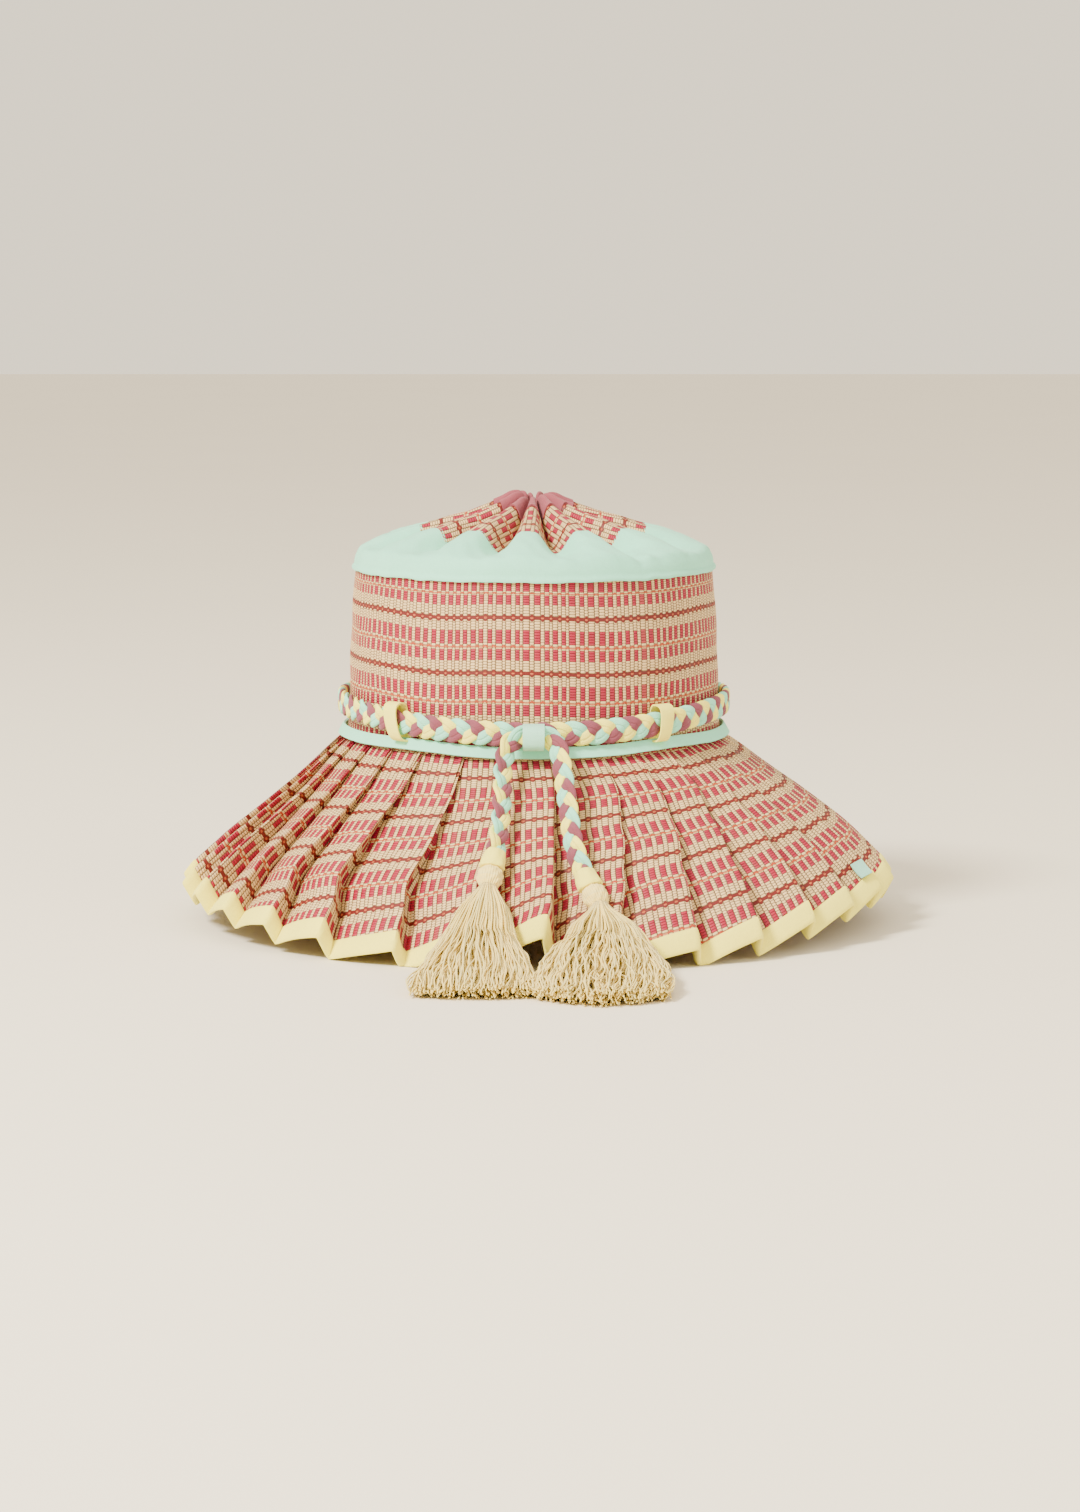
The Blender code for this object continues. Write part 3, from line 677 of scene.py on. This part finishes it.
# The crown's wall: hand-woven straw, cream with rows of pink blocks in every second column,
# thin orange lines and double red threads linked like a chain. One strip, joined at the front.
CROWN_TOP_R = 0.0906
CROWN_TOP_Z = 0.1778
CROWN_BASE_R = 0.0957
CROWN_BASE_Z = 0.0905
STRAW_WALL = 0.0015
CROWN_COLUMNS = 250
CROWN_ROWS = 46
CROWN_CHAIN_Z = 0.1606
CROWN_PICK = 0.0013575
COLUMN_SINK = 0.00022
CREAM = srgb(226, 192, 138)
# The two gap tones are painted shade: the dark colour put into the gaps between the straw floats,
# where shade falls.
CREAM_GAP_SHADE = srgb(76, 52, 28)
PINK = srgb(164, 12, 54)
PINK_GAP_SHADE = srgb(92, 4, 22)
ORANGE = srgb(170, 52, 12)
RED = srgb(102, 4, 3)
HEART = srgb(190, 92, 52)
CHAIN_PICKS = 20.0
ROW_SAG = (
    # (azimuth in degrees, how far the rows sag in millimetres)
    (-180, 0), (-100, -2.4), (-80, -2.4), (-50, -0.5), (-29, 1.3), (-10, 0.3), (0, 0),
    (10, 0.8), (20, 2.6), (30, 1.8), (39, 1.3), (75, -0.8), (100, -0.8), (180, 0),
)
CROWN_PROFILE = ((0.00, 1.00), (0.08, 0.78), (0.18, 0.64), (0.50, 0.55), (0.80, 0.30), (1.00, 0.00))


def straw(name, pink_share=0.5):
    """The woven straw. Across counts the columns, and along counts the rows from a chain.
    The odd columns carry the pink blocks and take pink_share of each pair's width."""
    finish, tree, shader = new_finish(name, 0.62)
    across, along = cloth_place(tree)
    pair = across * 0.5
    in_pair = calc(tree, "FRACT", pair)
    odd = calc(tree, "GREATER_THAN", in_pair, 1 - pink_share)
    even = 1.0 - odd
    inside = odd * ((in_pair - (1 - pink_share)) / pink_share) + even * (in_pair / (1 - pink_share))
    column = calc(tree, "FLOOR", pair) * 2.0 + odd
    pick_place = chance(tree, column, 3.0) * 0.3 + (odd * 0.5 + along)
    pick = calc(tree, "FLOOR", pick_place)
    wide = abs(inside * 2.0 - 1.0)
    high = abs(calc(tree, "FRACT", pick_place) * 2.0 - 1.0)
    float_top = (1.0 - wide**3.0) * (1.0 - high**3.5)

    phase = pick % CHAIN_PICKS
    upper_block = calc(tree, "COMPARE", phase, 7.0, 2.4)
    lower_block = calc(tree, "COMPARE", phase, 13.5, 1.9)
    kept = ramp(tree, chance(tree, column, 7.0), 0.0, 0.05, 0.94, 1.0)
    blocks = odd * (upper_block + lower_block) * kept
    top_tone = mix(tree, blocks, CREAM, PINK)
    # Painted shade: each float's colour turns dark towards its edges and into the gaps between
    # floats.
    gap_shade_tone = mix(tree, blocks, CREAM_GAP_SHADE, PINK_GAP_SHADE)
    tone = mix(tree, ramp(tree, float_top, 0.08, 0.70), gap_shade_tone, top_tone)

    bow = calc(tree, "SINE", inside * pi)
    line_place = (odd * 0.5 - 0.36) * (bow * bow) + 10.5
    line_half = odd * -0.12 + 0.52
    line_off = abs(along % CHAIN_PICKS - line_place)
    orange_line = 1.0 - ramp(tree, line_off, line_half * 0.55, line_half)
    tone = mix(tree, orange_line * (odd * -0.25 + 1.0), tone, ORANGE)

    chain_off = abs((along + CHAIN_PICKS / 2) % CHAIN_PICKS - CHAIN_PICKS / 2)
    apart = ramp(tree, bow, 0.0, 0.75) * 0.86 * even
    red_half = odd * 0.22 + 0.58
    red_thread = 1.0 - ramp(tree, abs(chain_off - apart), red_half * 0.7, red_half)
    heart = even * ramp(tree, apart - chain_off, 0.1, 0.3)
    tone = mix(tree, red_thread, mix(tree, heart, tone, HEART), RED)

    single = chance(tree, column, pick)
    fibre = noise(tree, spot(tree, across * 1.2, along * 9.0), 1.0, 3.0)
    broad = noise(tree, object_place(tree), 28.0, 2.0)
    shade = single * 0.16 + 0.84 + fibre * 0.12 + (broad - 0.5) * 0.12
    wire(tree, tint(tree, tone, shade), shader.inputs["Base Color"])
    wire(tree, ramp(tree, single, 0.0, 1.0, 0.5, 0.72), shader.inputs["Roughness"])
    height = calc(tree, "MAXIMUM", float_top, red_thread * 1.25)
    height = calc(tree, "MAXIMUM", height, orange_line * 0.9)
    relief(tree, shader, fibre * 0.15 + height, 0.0004)
    return finish


def smooth_table(places, values, reach, steps=400):
    """A table of values as a smooth function, its corners rounded over a reach."""
    fine = np.linspace(places[0], places[-1], steps)
    half = max(1, round(reach / (places[-1] - places[0]) * steps))
    padded = np.pad(np.interp(fine, places, values), half, mode="reflect", reflect_type="odd")
    rounded = np.convolve(padded, np.ones(2 * half + 1) / (2 * half + 1), mode="valid")
    return lambda place: np.interp(place, fine, rounded)


taper = smooth_table(*zip(*CROWN_PROFILE), 0.05)


def crown_radius(height):
    share = (height - CROWN_BASE_Z) / (CROWN_TOP_Z - CROWN_BASE_Z)
    return CROWN_TOP_R + (CROWN_BASE_R - CROWN_TOP_R) * taper(share)


def ripple(azimuth, seed, counts, size):
    """A soft, closed wave round the hat, from a few waves of random strength."""
    random = np.random.default_rng(seed)
    total = np.zeros_like(azimuth)
    for count in counts:
        total = total + random.normal(0, 1) * np.sin(count * azimuth + random.uniform(0, tau))
    return total * size / len(counts) ** 0.5


random = np.random.default_rng(5)
widths = random.uniform(0.76, 1.24, CROWN_COLUMNS)
widths = widths * np.where(np.arange(CROWN_COLUMNS) % 2, 1.18, 0.82)
edges = np.append(0, np.cumsum(widths)) / widths.sum() * tau - 0.021
middles = (edges[:-1] + edges[1:]) / 2
azimuths = np.append(np.stack([edges[:-1], middles], 1).ravel(), edges[-1])
counted = np.arange(2 * CROWN_COLUMNS + 1) / 2
heights = np.linspace(CROWN_BASE_Z, CROWN_TOP_Z + 0.0010, CROWN_ROWS)[:, None]
fade = np.sin(pi * np.linspace(0, 1, CROWN_ROWS))[:, None]
radii = crown_radius(heights) - np.where(np.arange(len(azimuths)) % 2 == 0, COLUMN_SINK, 0.0)
radii = radii + fade * (
    ripple(azimuths, 1, (3, 5, 8), 0.00045)
    + ripple(azimuths + heights * 18, 2, (4, 7, 11), 0.00025)
)
sag = smooth_table(*zip(*ROW_SAG), 8.0)(np.degrees(from_front(azimuths)))
sag = sag + 3.0 * np.clip((heights - 0.170) / 0.006, 0, 1)
picks = (CROWN_CHAIN_Z - sag / MILLIMETRES - heights) / CROWN_PICK + 60
picks = picks + ripple(azimuths, 3, (2, 3, 6, 9), 0.18)
points = round_points(radii, azimuths, heights)
crown = lay_cloth("straw_crown", points, counted + 1000, picks, straw("straw_crown"))
sew(crown, STRAW_WALL, 60)
take_place(crown, "crown_side")

# Mint cotton tape, folded under at both edges, that covers the seam between crown and brim.
TAPE_TOP_Z = 0.0974
TAPE_FOOT_Z = 0.0923
TAPE_ROWS = 12
TAPE_SHARES = (0, 0.15, 0.5, 0.85, 1)
TAPE_RADII = (0.0998, 0.0994, 0.0984, 0.0974, 0.0968)
mint_tape = cotton("mint_tape", MINT)
share = np.linspace(0, 1, TAPE_ROWS)[:, None]
azimuths = np.linspace(0, tau, 361)
pucker = np.sin(pi * share) * ripple(azimuths, 21, (17, 29, 43), 0.00018)
radii = np.interp(share, TAPE_SHARES, TAPE_RADII) + pucker
lifts = TAPE_FOOT_Z + (TAPE_TOP_Z - TAPE_FOOT_Z) * share
lifts = lifts + ripple(azimuths, 22, (5, 9), 0.00025) + seam_rise(azimuths)
points = round_points(radii, azimuths, lifts)
tape = lay_cloth("seam_tape", points, azimuths * 98, share * 7, mint_tape)
sew(tape, 0.0010, 50)
take_place(tape, "base_tape")

# The soft crown top: plain mint cotton rises over the shoulder and is gathered to 13 round
# pleats, the woven tip carries them on, and mauve cloth binds their ends round a crevice.
APEX_RISE = 0.0372
TIP_PLEATS = 13
TIP_FOLD = 0.015
TIP_PHASE = radians(-2.9)
TOP_COLUMNS = 26
TIP_COLUMN = 0.00235
TIP_PICK = 1.365
TIP_LIFT = 0.0018
BAND_EDGE_R = 0.0914
HEM_SWELL = np.array((0.0009, 0.0012, 0.0008))
TOP_SECTIONS = (
    # (radius, height share, fold share) from the band's lower edge to the crevice
    (BAND_EDGE_R, 0.00, 0.00),
    (0.0911, 0.15, 0.00),
    (0.0884, 0.31, 0.06),
    (0.0770, 0.45, 0.40),
    (0.0655, 0.55, 0.68),
    (0.0555, 0.61, 0.76),
    (0.0449, 0.70, 0.88),
    (0.0342, 0.77, 0.97),
    (0.0200, 0.89, 1.00),
    (0.0115, 1.00, 0.80),
    (0.0064, 0.99, 0.45),
    (0.0045, 0.80, 0.10),
)
SHOULDER_CREASES = (
    # (azimuth in degrees, depth, width in degrees): the cloth's front seam and its creases
    (1.0, 0.0007, 0.8),
    (36.0, 0.0016, 2.2),
    (40.5, -0.0008, 2.0),
    (323.0, 0.0010, 2.4),
)
top_r, top_h, top_f = (np.array(column) for column in zip(*TOP_SECTIONS))
top_q = np.append(0, np.cumsum(np.hypot(np.diff(top_r), np.diff(top_h * APEX_RISE))))
top_radius, top_height, top_fold = (
    smooth_table(top_q, column, 0.0022) for column in (top_r, top_h, top_f)
)


def crown_top(travel, ends_lift):
    """Rows of points at distances along the crown top's crest line, from its lower edge."""
    across = np.sin(np.linspace(-pi / 2, pi / 2, TOP_COLUMNS + 1))[:-1]
    across = np.append(np.tile(across, TIP_PLEATS), 1.0)
    pleat = np.append(np.repeat(np.arange(TIP_PLEATS), TOP_COLUMNS), TIP_PLEATS - 1)
    azimuth = TIP_PHASE + tau * (pleat + across / 2) / TIP_PLEATS
    travel = travel[:, None]
    radius = top_radius(travel)
    tube = 1 - np.sqrt(np.maximum(0.0, 1 - np.abs(across) ** 2.2))
    wave = step_share((np.abs(across) - 0.22) / 0.78)
    outer = step_share((radius - 0.022) / 0.026)
    fall = tube * (1 - outer) + wave * outer
    own = np.random.default_rng(31).normal(0, 1, (3, TIP_PLEATS))
    near = np.clip(1 - radius / 0.034, 0, 1)
    inner = np.clip(1 - radius / 0.06, 0, 1)
    height = CROWN_TOP_Z + GAP + APEX_RISE * top_height(travel) - TIP_FOLD * top_fold(travel) * fall
    height = height + ends_lift * own[0][pleat] * near * (1 - fall)
    azimuth = azimuth[None] + 0.02 * own[1][pleat][None] * inner * (1 - fall)
    soft = np.clip((radius - 0.058) / 0.016, 0, 1) * np.clip((0.0925 - radius) / 0.003, 0, 1)
    height = height + soft * (
        ripple(azimuth, 32, (11, 19, 26), 0.0008)
        + ripple(azimuth - radius * 9, 33, (9, 31, 47), 0.0003)
    )
    for place, depth, width in SHOULDER_CREASES:
        off = (azimuth - radians(place)) / radians(width)
        height = height - soft * depth * np.exp(-(off**2))
    return round_points(radius, azimuth, height), pleat


def crest_places(points, pleat, column_width, first):
    """For each face its left and right place across, measured from its pleat's crest."""
    steps = np.linalg.norm(np.diff(points, axis=1), axis=2) / column_width
    reached = np.concatenate([np.zeros((len(points), 1)), np.cumsum(steps, axis=1)], axis=1)
    crest = reached[:, TOP_COLUMNS // 2 + TOP_COLUMNS * np.arange(TIP_PLEATS)]
    own = first + 30 * pleat[:-1][None] - crest[:, pleat[:-1]]
    return reached[:, :-1] + own, reached[:, 1:] + own


def place_of(radius):
    return float(np.interp(-radius, -top_r, top_q))


band_end, tip_end = place_of(0.0572), place_of(0.0198)
travel = np.concatenate([np.linspace(0, 0.012, 14)[:-1], np.linspace(0.012, band_end, 26)])
points, pleat = crown_top(travel, 0.0)
waves = np.cos(np.arctan2(points[0, :, 0], -points[0, :, 1]))
points[:, :, 2] -= np.clip(1 - travel / 0.008, 0, 1)[:, None] * (0.0008 * waves - 0.0002)
points[:3, :, :2] *= 1 + (HEM_SWELL / BAND_EDGE_R)[:, None, None]
across = crest_places(points, pleat, 1 / MILLIMETRES, 0.5)
mint_shoulder = cotton("mint_shoulder", MINT, creases=0.0004)
band = lay_cloth("cotton_shoulder", points, across, travel[:, None] * MILLIMETRES, mint_shoulder)

travel = np.linspace(band_end - 0.0012, tip_end + 0.0006, 34)
points, pleat = crown_top(travel, TIP_LIFT)
across = crest_places(points, pleat, TIP_COLUMN, 401.5)
picks = (tip_end - travel[:, None]) * MILLIMETRES / TIP_PICK - 1.1 + 40
tip = lay_cloth("straw_tip", points, across, picks, straw("straw_tip", 0.58))

travel = np.linspace(tip_end - 0.0008, float(top_q[-1]), 26)
points, pleat = crown_top(travel, TIP_LIFT)
points[:, :, 2] += 0.0003 + 0.0006 * np.clip(1 - np.arange(26) / 6, 0, 1)[:, None]
across = crest_places(points, pleat, 1 / MILLIMETRES, 0.5)
mauve_binding = cotton("mauve_binding", srgb(146, 68, 82), 0.10, 0.0004)
centre = lay_cloth("bound_centre", points, across, travel[:, None] * MILLIMETRES, mauve_binding)
for piece, node, slot_name, wall in (
    (band, "crown_top_band", "mint_cotton", 0.0012),
    (tip, "crown_tip", "woven_straw", 0.0014),
    (centre, "crown_centre", "mauve_cotton", 0.0012),
):
    sew(piece, wall, 60)
    take_place(piece, node)

# The brim: one long strip of the same straw, knife-pleated 32 times, all folds turned one
# way. The folds lie flat under the tape and open towards the edge.
BRIM_WALL = 0.0015
PLEATS = 32
PLEAT_PHASE = radians(1.6)
PLEAT_DRIFT = radians(2.3)
WIDE_STEPS = 16
RETURN_STEPS = 7
PER_PLEAT = WIDE_STEPS + RETURN_STEPS
BRIM_ROWS = 46
BRIM_COLUMN = 0.00275
BRIM_CHAIN = 0.0105
BRIM_PICK = 0.00131
BRIM_STRETCH = 0.0055
BRIM_SLANT = hypot(BRIM_EDGE_R - BRIM_ROOT_R, BRIM_ROOT_Z)
BRIM_SECTIONS = (
    # (slant share, depth share, how far round the crest lies in its pleat)
    (-0.02, 0.06, 1.00), (0.12, 0.34, 1.03), (0.36, 0.74, 1.04),
    (0.68, 1.04, 0.99), (1.02, 1.00, 0.89),
)
TWIST_SLANTS = (0.0, 0.15, 0.40, 0.65, 0.85, 1.0)
TWIST_DEGREES = (-180, -75, -50, -36, -22, 1, 13, 26, 41, 75, 180)
PLEAT_TWIST = (
    # degrees that the folds wander off at each azimuth, by share of the slant
    (0, 0, -0.8, -1.2, 1.4, 3.0, 7.5, 7.0, 6.3, 0, 0),
    (0, 0, -0.8, -1.2, 1.4, 3.0, 7.5, 7.0, 6.3, 0, 0),
    (0, 0, -2.0, -3.2, 0.3, 2.2, 5.0, 5.0, 2.7, 0, 0),
    (0, 0, -2.5, -3.9, -1.0, 2.1, 3.0, 2.5, 1.5, 0, 0),
    (0, 0, -0.6, -1.0, 0.7, 2.0, 1.5, 2.0, 1.2, 0, 0),
    (0, 0, -0.2, -0.4, 1.4, 1.2, 1.2, 1.7, 1.0, 0, 0),
)
CREST_LIFT = 0.0045
FRONT_LIFT = 0.0082
FRONT_HALF_ANGLE = 0.22
LEFT_CLOSED = 0.14
RIGHT_CLOSED = 0.05
slants, depths, crests = zip(*BRIM_SECTIONS)
pleat_depth, pleat_crest = smooth_table(slants, depths, 0.06), smooth_table(slants, crests, 0.06)
pleat_random = np.random.default_rng(41).normal(0, 1, (5, PLEATS + 1))
pleat_random[:, -1] = pleat_random[:, 0]


def valley(pleat):
    turn = tau * pleat / PLEATS
    return PLEAT_PHASE + turn + PLEAT_DRIFT * np.sin(turn)


def round_off(values, closing):
    """One pass of smoothing round a closed row, whose last value is its first plus closing."""
    before = np.append(values[..., -2:-1] - closing, values[..., :-1], axis=-1)
    after = np.append(values[..., 1:], values[..., 1:2] + closing, axis=-1)
    return 0.25 * before + 0.5 * values + 0.25 * after


def brim_rows(slant):
    """Azimuths and heights across all pleats at each share of the slant."""
    slant = slant[:, None, None]
    number = np.arange(PLEATS)[None, :, None]
    start, end = valley(number), valley(number + 1)
    closed = LEFT_CLOSED * step_share((-np.sin(start) - 0.2) / 0.4)
    closed = closed + RIGHT_CLOSED * step_share(np.sin(start) / 0.4)
    closed = closed * (1 - 0.5 * step_share((slant - 0.8) / 0.2))
    crest = pleat_crest(slant) + closed
    depth = PLEAT_DEPTH * pleat_depth(slant) * (1 + 0.06 * pleat_random[0][None, :-1, None])
    wide = np.arange(WIDE_STEPS) / WIDE_STEPS
    back = np.arange(RETURN_STEPS) / RETURN_STEPS
    share = np.concatenate([wide * crest, crest + (1 - crest) * back], axis=2)
    belly = 0.0006 + 0.0004 * pleat_random[1][None, :-1, None]
    full = np.clip(slant * 2, 0, 1)
    rise = np.concatenate([
        depth * wide + belly * np.sin(pi * wide) * full,
        depth * (1 - back) + 0.0005 * np.sin(pi * back) * full,
    ], axis=2)
    azimuth = (start + (end - start) * (share - closed)).reshape(len(slant), -1)
    rise = rise.reshape(len(slant), -1)
    azimuth = np.append(azimuth, azimuth[:, :1] + tau, axis=1)
    rise = np.append(rise, rise[:, :1], axis=1)
    kept_azimuth, kept_rise = azimuth, rise
    azimuth, rise = round_off(azimuth, tau), round_off(rise, 0.0)
    valleys = np.arange(PLEATS + 1) * PER_PLEAT
    azimuth[:, valleys] = kept_azimuth[:, valleys]
    rise[:, valleys] = kept_rise[:, valleys]
    return azimuth, rise


def twisted(azimuth, slant):
    """The folds aren't quite radial: they wander sideways between the seam and the edge."""
    turned = np.degrees(from_front(azimuth))
    rows = np.array([np.interp(turned, TWIST_DEGREES, row) for row in PLEAT_TWIST])
    place = np.interp(slant, TWIST_SLANTS, np.arange(len(TWIST_SLANTS)))
    below = np.minimum(place.astype(int), len(TWIST_SLANTS) - 2)
    part = step_share(place - below)[:, None]
    number = np.arange(len(slant))
    shift = rows[below, number] * (1 - part) + rows[below + 1, number] * part
    return azimuth + np.radians(shift)


def brim_surface(slant):
    azimuth, rise = brim_rows(slant)
    azimuth = twisted(azimuth, slant)
    slant = slant[:, None]
    points = on_brim(slant, azimuth, rise)
    lift = CREST_LIFT + FRONT_LIFT * np.exp(-((from_front(azimuth) / FRONT_HALF_ANGLE) ** 2))
    lift = lift * slant**2 * (1.5 - 0.5 * step_share((slant - 0.9) / 0.1))
    points[..., 2] += lift * rise / PLEAT_DEPTH
    return points, azimuth


slant = np.linspace(0.972, -0.012, BRIM_ROWS)
points, azimuth = brim_surface(slant)
steps = np.linalg.norm(np.diff(points, axis=1), axis=2) / BRIM_COLUMN
reached = np.concatenate([np.zeros((len(points), 1)), np.cumsum(steps, axis=1)], axis=1)
owner = np.repeat(np.arange(PLEATS), PER_PLEAT)
crest_reached = reached[:, WIDE_STEPS + PER_PLEAT * np.arange(PLEATS)]
pleat_start = 40 * np.arange(PLEATS) + np.random.default_rng(42).integers(0, 4, PLEATS) + 1000
pleat_start = pleat_start + 0.15 * pleat_random[2][:-1]
own = pleat_start[owner][None] - crest_reached[:, owner]
travel = slant[:, None] * brim_line(azimuth)[2]
travel = travel - BRIM_STRETCH * np.maximum(0.0, (travel - 0.034) / 0.06) ** 1.6
picks = (travel - BRIM_CHAIN) / BRIM_PICK + 40 + 0.35 * pleat_random[3][np.append(owner, 0)]
across = reached[:, :-1] + own, reached[:, 1:] + own
brim = lay_cloth("pleated_brim", points, across, picks, straw("straw_brim", 0.58))
sew(brim, BRIM_WALL, 60)
take_place(brim, "brim")

# Pale yellow cotton tape, folded over the brim's raw edge and sewn through. It follows every
# fold, pointed at the lower tips and round over the crests.
BINDING_SECTION = (
    # (slant share, height above the straw's face) from under the brim round to its top
    (0.921, -0.00175),
    (0.942, -0.00205),
    (0.975, -0.00205),
    (0.993, -0.00185),
    (1.002, -0.00130),
    (1.005, -0.00065),
    (1.001, 0.00005),
    (0.990, 0.00045),
    (0.965, 0.00062),
    (0.942, 0.00062),
    (0.924, 0.00045),
    (0.920, 0.00008),
)
BINDING_TOP_ROW = 8
LOWEST = 0.0003
slant, offset = (np.array(column) for column in zip(*BINDING_SECTION))
points, azimuth = brim_surface(slant)
ahead, _ = brim_surface(slant + 0.002)
around = np.empty_like(points)
around[:, 1:-1] = points[:, 2:] - points[:, :-2]
around[:, 0] = around[:, -1] = points[:, 1] - points[:, 0] + points[:, -1] - points[:, -2]
outward = unit(np.cross(around, points - ahead))
puff = 1 + 0.25 * ripple(azimuth, 51, (37, 53, 71), 1.0)
offset = offset[:, None]
points = points + outward * (offset * np.where(offset > 0, puff, 1.0))[..., None]
points[..., 2] = np.maximum(points[..., 2], LOWEST)
steps = np.linalg.norm(np.diff(points[BINDING_TOP_ROW], axis=0), axis=1)
girth = np.append(0, np.cumsum(steps * MILLIMETRES))
folded = np.hypot(np.diff(slant) * BRIM_SLANT, np.diff(offset[:, 0]))
folded = np.append(0, np.cumsum(folded))[:, None] * MILLIMETRES
yellow_binding = cotton("yellow_binding", YELLOW)
binding = lay_cloth("edge_binding", points, girth, folded, yellow_binding)
sew(binding, 0.0004, 50)
take_place(binding, "brim_binding")

# The belt: the same three-strand braid, laid once round the crown above the tape and a
# little lower at the front, with both ends led through the slider there.
BELT_WIDTH = 0.0106
BELT_SEAT = 0.0095
BRAID_THICKNESS = 0.0044
BRAID_Z = 0.1114
BRAID_DROOP = 0.0076
BELT_END = 0.03
BELT_PERIODS = 24
BELT_RIGHT_YELLOW = 0.037
BELT_LEFT_YELLOW = -0.043
BELT_TUCK = 0.003
LOOP_WALL = 0.0008
SLIDER_WALL = 0.0010


def braid_height(azimuth):
    return BRAID_Z - BRAID_DROOP * np.maximum(0.0, np.cos(azimuth)) ** 2


def braid_inner_r(azimuth):
    height = braid_height(azimuth)
    widest = np.maximum(crown_radius(height - BELT_SEAT / 2), crown_radius(height))
    return widest + 2 * GAP + max(LOOP_WALL, SLIDER_WALL)


azimuth = np.linspace(BELT_END, tau - BELT_END, 620)
line = round_points(braid_inner_r(azimuth) + BRAID_THICKNESS / 2, azimuth, braid_height(azimuth))
reached = np.append(0, np.cumsum(np.linalg.norm(np.diff(line, axis=0), axis=1))) + BELT_TUCK
way = unit(np.gradient(line, axis=0))
across = unit(np.array((0.0, 0.0, 1.0)) - way * way[:, 2:])
out = np.cross(way, across)
period = (reached[-1] + BELT_TUCK + BELT_LEFT_YELLOW - BELT_RIGHT_YELLOW) / BELT_PERIODS
start = 3 * pi / 4 - tau * BELT_RIGHT_YELLOW / period
colours = ("yellow", "mint", "mauve")
belt = braid("braided_belt", line, reached, across, out, BELT_WIDTH, period, colours, start, 1)
take_place(belt, "braid_band")

# Cloth sleeves round the belt: four yellow ribbon loops sewn to the crown above the tape,
# and the wider mint slider at the front, which grips the belt and its two ends.
TAPE_GAP_Z = TAPE_TOP_Z + 0.0010
LOOP_WIDTH = 0.0086
LOOP_HEADROOM = 0.0034
SLIDER_WIDTH = 0.0106
SLEEVE_SLACK = 0.0018
LOOPS = (
    # (azimuth in degrees, lean, pinch)
    (-44, 0.0045, 0.15),
    (40, -0.0022, 0.25),
    (135, 0.001, 0.1),
    (-135, -0.001, 0.1),
)
SLEEVE_OUTLINE = (
    # (depth share, height share) round the belt
    (0.00, 0.50), (0.00, 0.16), (0.14, 0.03), (0.45, 0.00), (0.85, 0.05), (1.00, 0.20),
    (1.03, 0.50), (1.00, 0.80), (0.85, 0.95), (0.45, 1.00), (0.12, 0.97), (0.00, 0.86),
    (0.00, 0.50),
)
yellow_ribbon = cotton("yellow_ribbon", YELLOW)
mint_sleeve = cotton("mint_sleeve", srgb(160, 224, 200))


def sleeve(name, azimuth, depth, foot_z, top_z, width, lean, pinch, wall, finish):
    """A flat sleeve round the belt. Its lower end leans sideways and is pinched."""
    outline = np.array(SLEEVE_OUTLINE)
    knots = np.append(0, np.cumsum(np.linalg.norm(np.diff(outline, axis=0), axis=1)))
    marks = np.linspace(0, knots[-1], 41)
    depth_share = np.interp(marks, knots, outline[:, 0])
    height_share = np.interp(marks, knots, outline[:, 1])
    for _ in range(2):
        for share in (depth_share, height_share):
            share[1:-1] = (share[:-2] + 2 * share[1:-1] + share[2:]) / 4
    place = np.linspace(-1, 1, 9)[:, None]
    low = 1 - height_share[None]
    x = place * width / 2 * (1 - pinch * low) + lean * low**1.5
    y = -(braid_inner_r(azimuth) - GAP - wall + depth * depth_share[None] + 0.0003 * (1 - place**2))
    z = foot_z + (top_z - foot_z) * height_share[None] + 0 * place
    c, s = cos(azimuth), sin(azimuth)
    points = np.stack([x * c - y * s, x * s + y * c, z], -1)
    piece = lay_cloth(name, points, marks * 12, place * width * 500, finish)
    sew(piece, wall, 50)
    return piece


for number, (degrees, lean, pinch) in enumerate(LOOPS, 1):
    turn = radians(degrees)
    top_z = float(braid_height(turn)) + BELT_SEAT / 2 + LOOP_WALL + LOOP_HEADROOM
    depth = 2 * LOOP_WALL + BRAID_THICKNESS + SLEEVE_SLACK
    loop = sleeve(
        f"ribbon_loop_{number}", turn, depth, TAPE_GAP_Z, top_z,
        LOOP_WIDTH, lean, pinch, LOOP_WALL, yellow_ribbon,
    )
    take_place(loop, f"belt_loop_{number}")
depth = 2 * SLIDER_WALL + BRAID_THICKNESS + 0.0050 + SLEEVE_SLACK
middle = float(braid_height(0.0)) - 0.0004
slider = sleeve(
    "mint_slider", 0.0, depth, middle - 0.0064, middle + 0.0050,
    SLIDER_WIDTH, 0.0, 0.03, SLIDER_WALL, mint_sleeve,
)
take_place(slider, "front_slider")

# A small bare tag: a loop of tape, folded once and sewn beside the binding near the right
# end of the brim, so it stands a little off the straw.
TAG_SIZE = 0.009
TAG_PLEAT = 5
TAG_ROW = 17
points, _ = brim_surface(np.linspace(0.80, 0.92, 25))
row, column = TAG_ROW, TAG_PLEAT * PER_PLEAT + 12
down = unit(points[row + 1, column] - points[row - 1, column])
aside = points[row, column + 1] - points[row, column - 1]
aside = unit(aside - down * (aside @ down))
out = np.cross(aside, down)
out = out * np.sign(out[2])
turn = np.linspace(0, tau, 33)
across = np.linspace(-0.5, 0.5, 9)[:, None]
rise = 0.0011 + 0.0005 * np.sign(np.cos(turn)) * np.abs(np.cos(turn) * 0.5) ** 0.5
drop = np.sign(np.sin(turn)) * np.abs(np.sin(turn)) ** 0.5 * TAG_SIZE / 2
rise = rise + 0.0004 * (drop / TAG_SIZE * 2) ** 2 + 0.0006
points = (
    points[row, column]
    + down * drop[:, None]
    + out * rise[:, None]
    + aside * (across * TAG_SIZE)[..., None]
)
tag_tape = cotton("tag_tape", srgb(150, 214, 196))
tag = lay_cloth("bare_tag", points, turn * 3, across * 9, tag_tape)
close_up(tag, fill=True)
soften(tag, 60)
take_place(tag, "brim_tag")
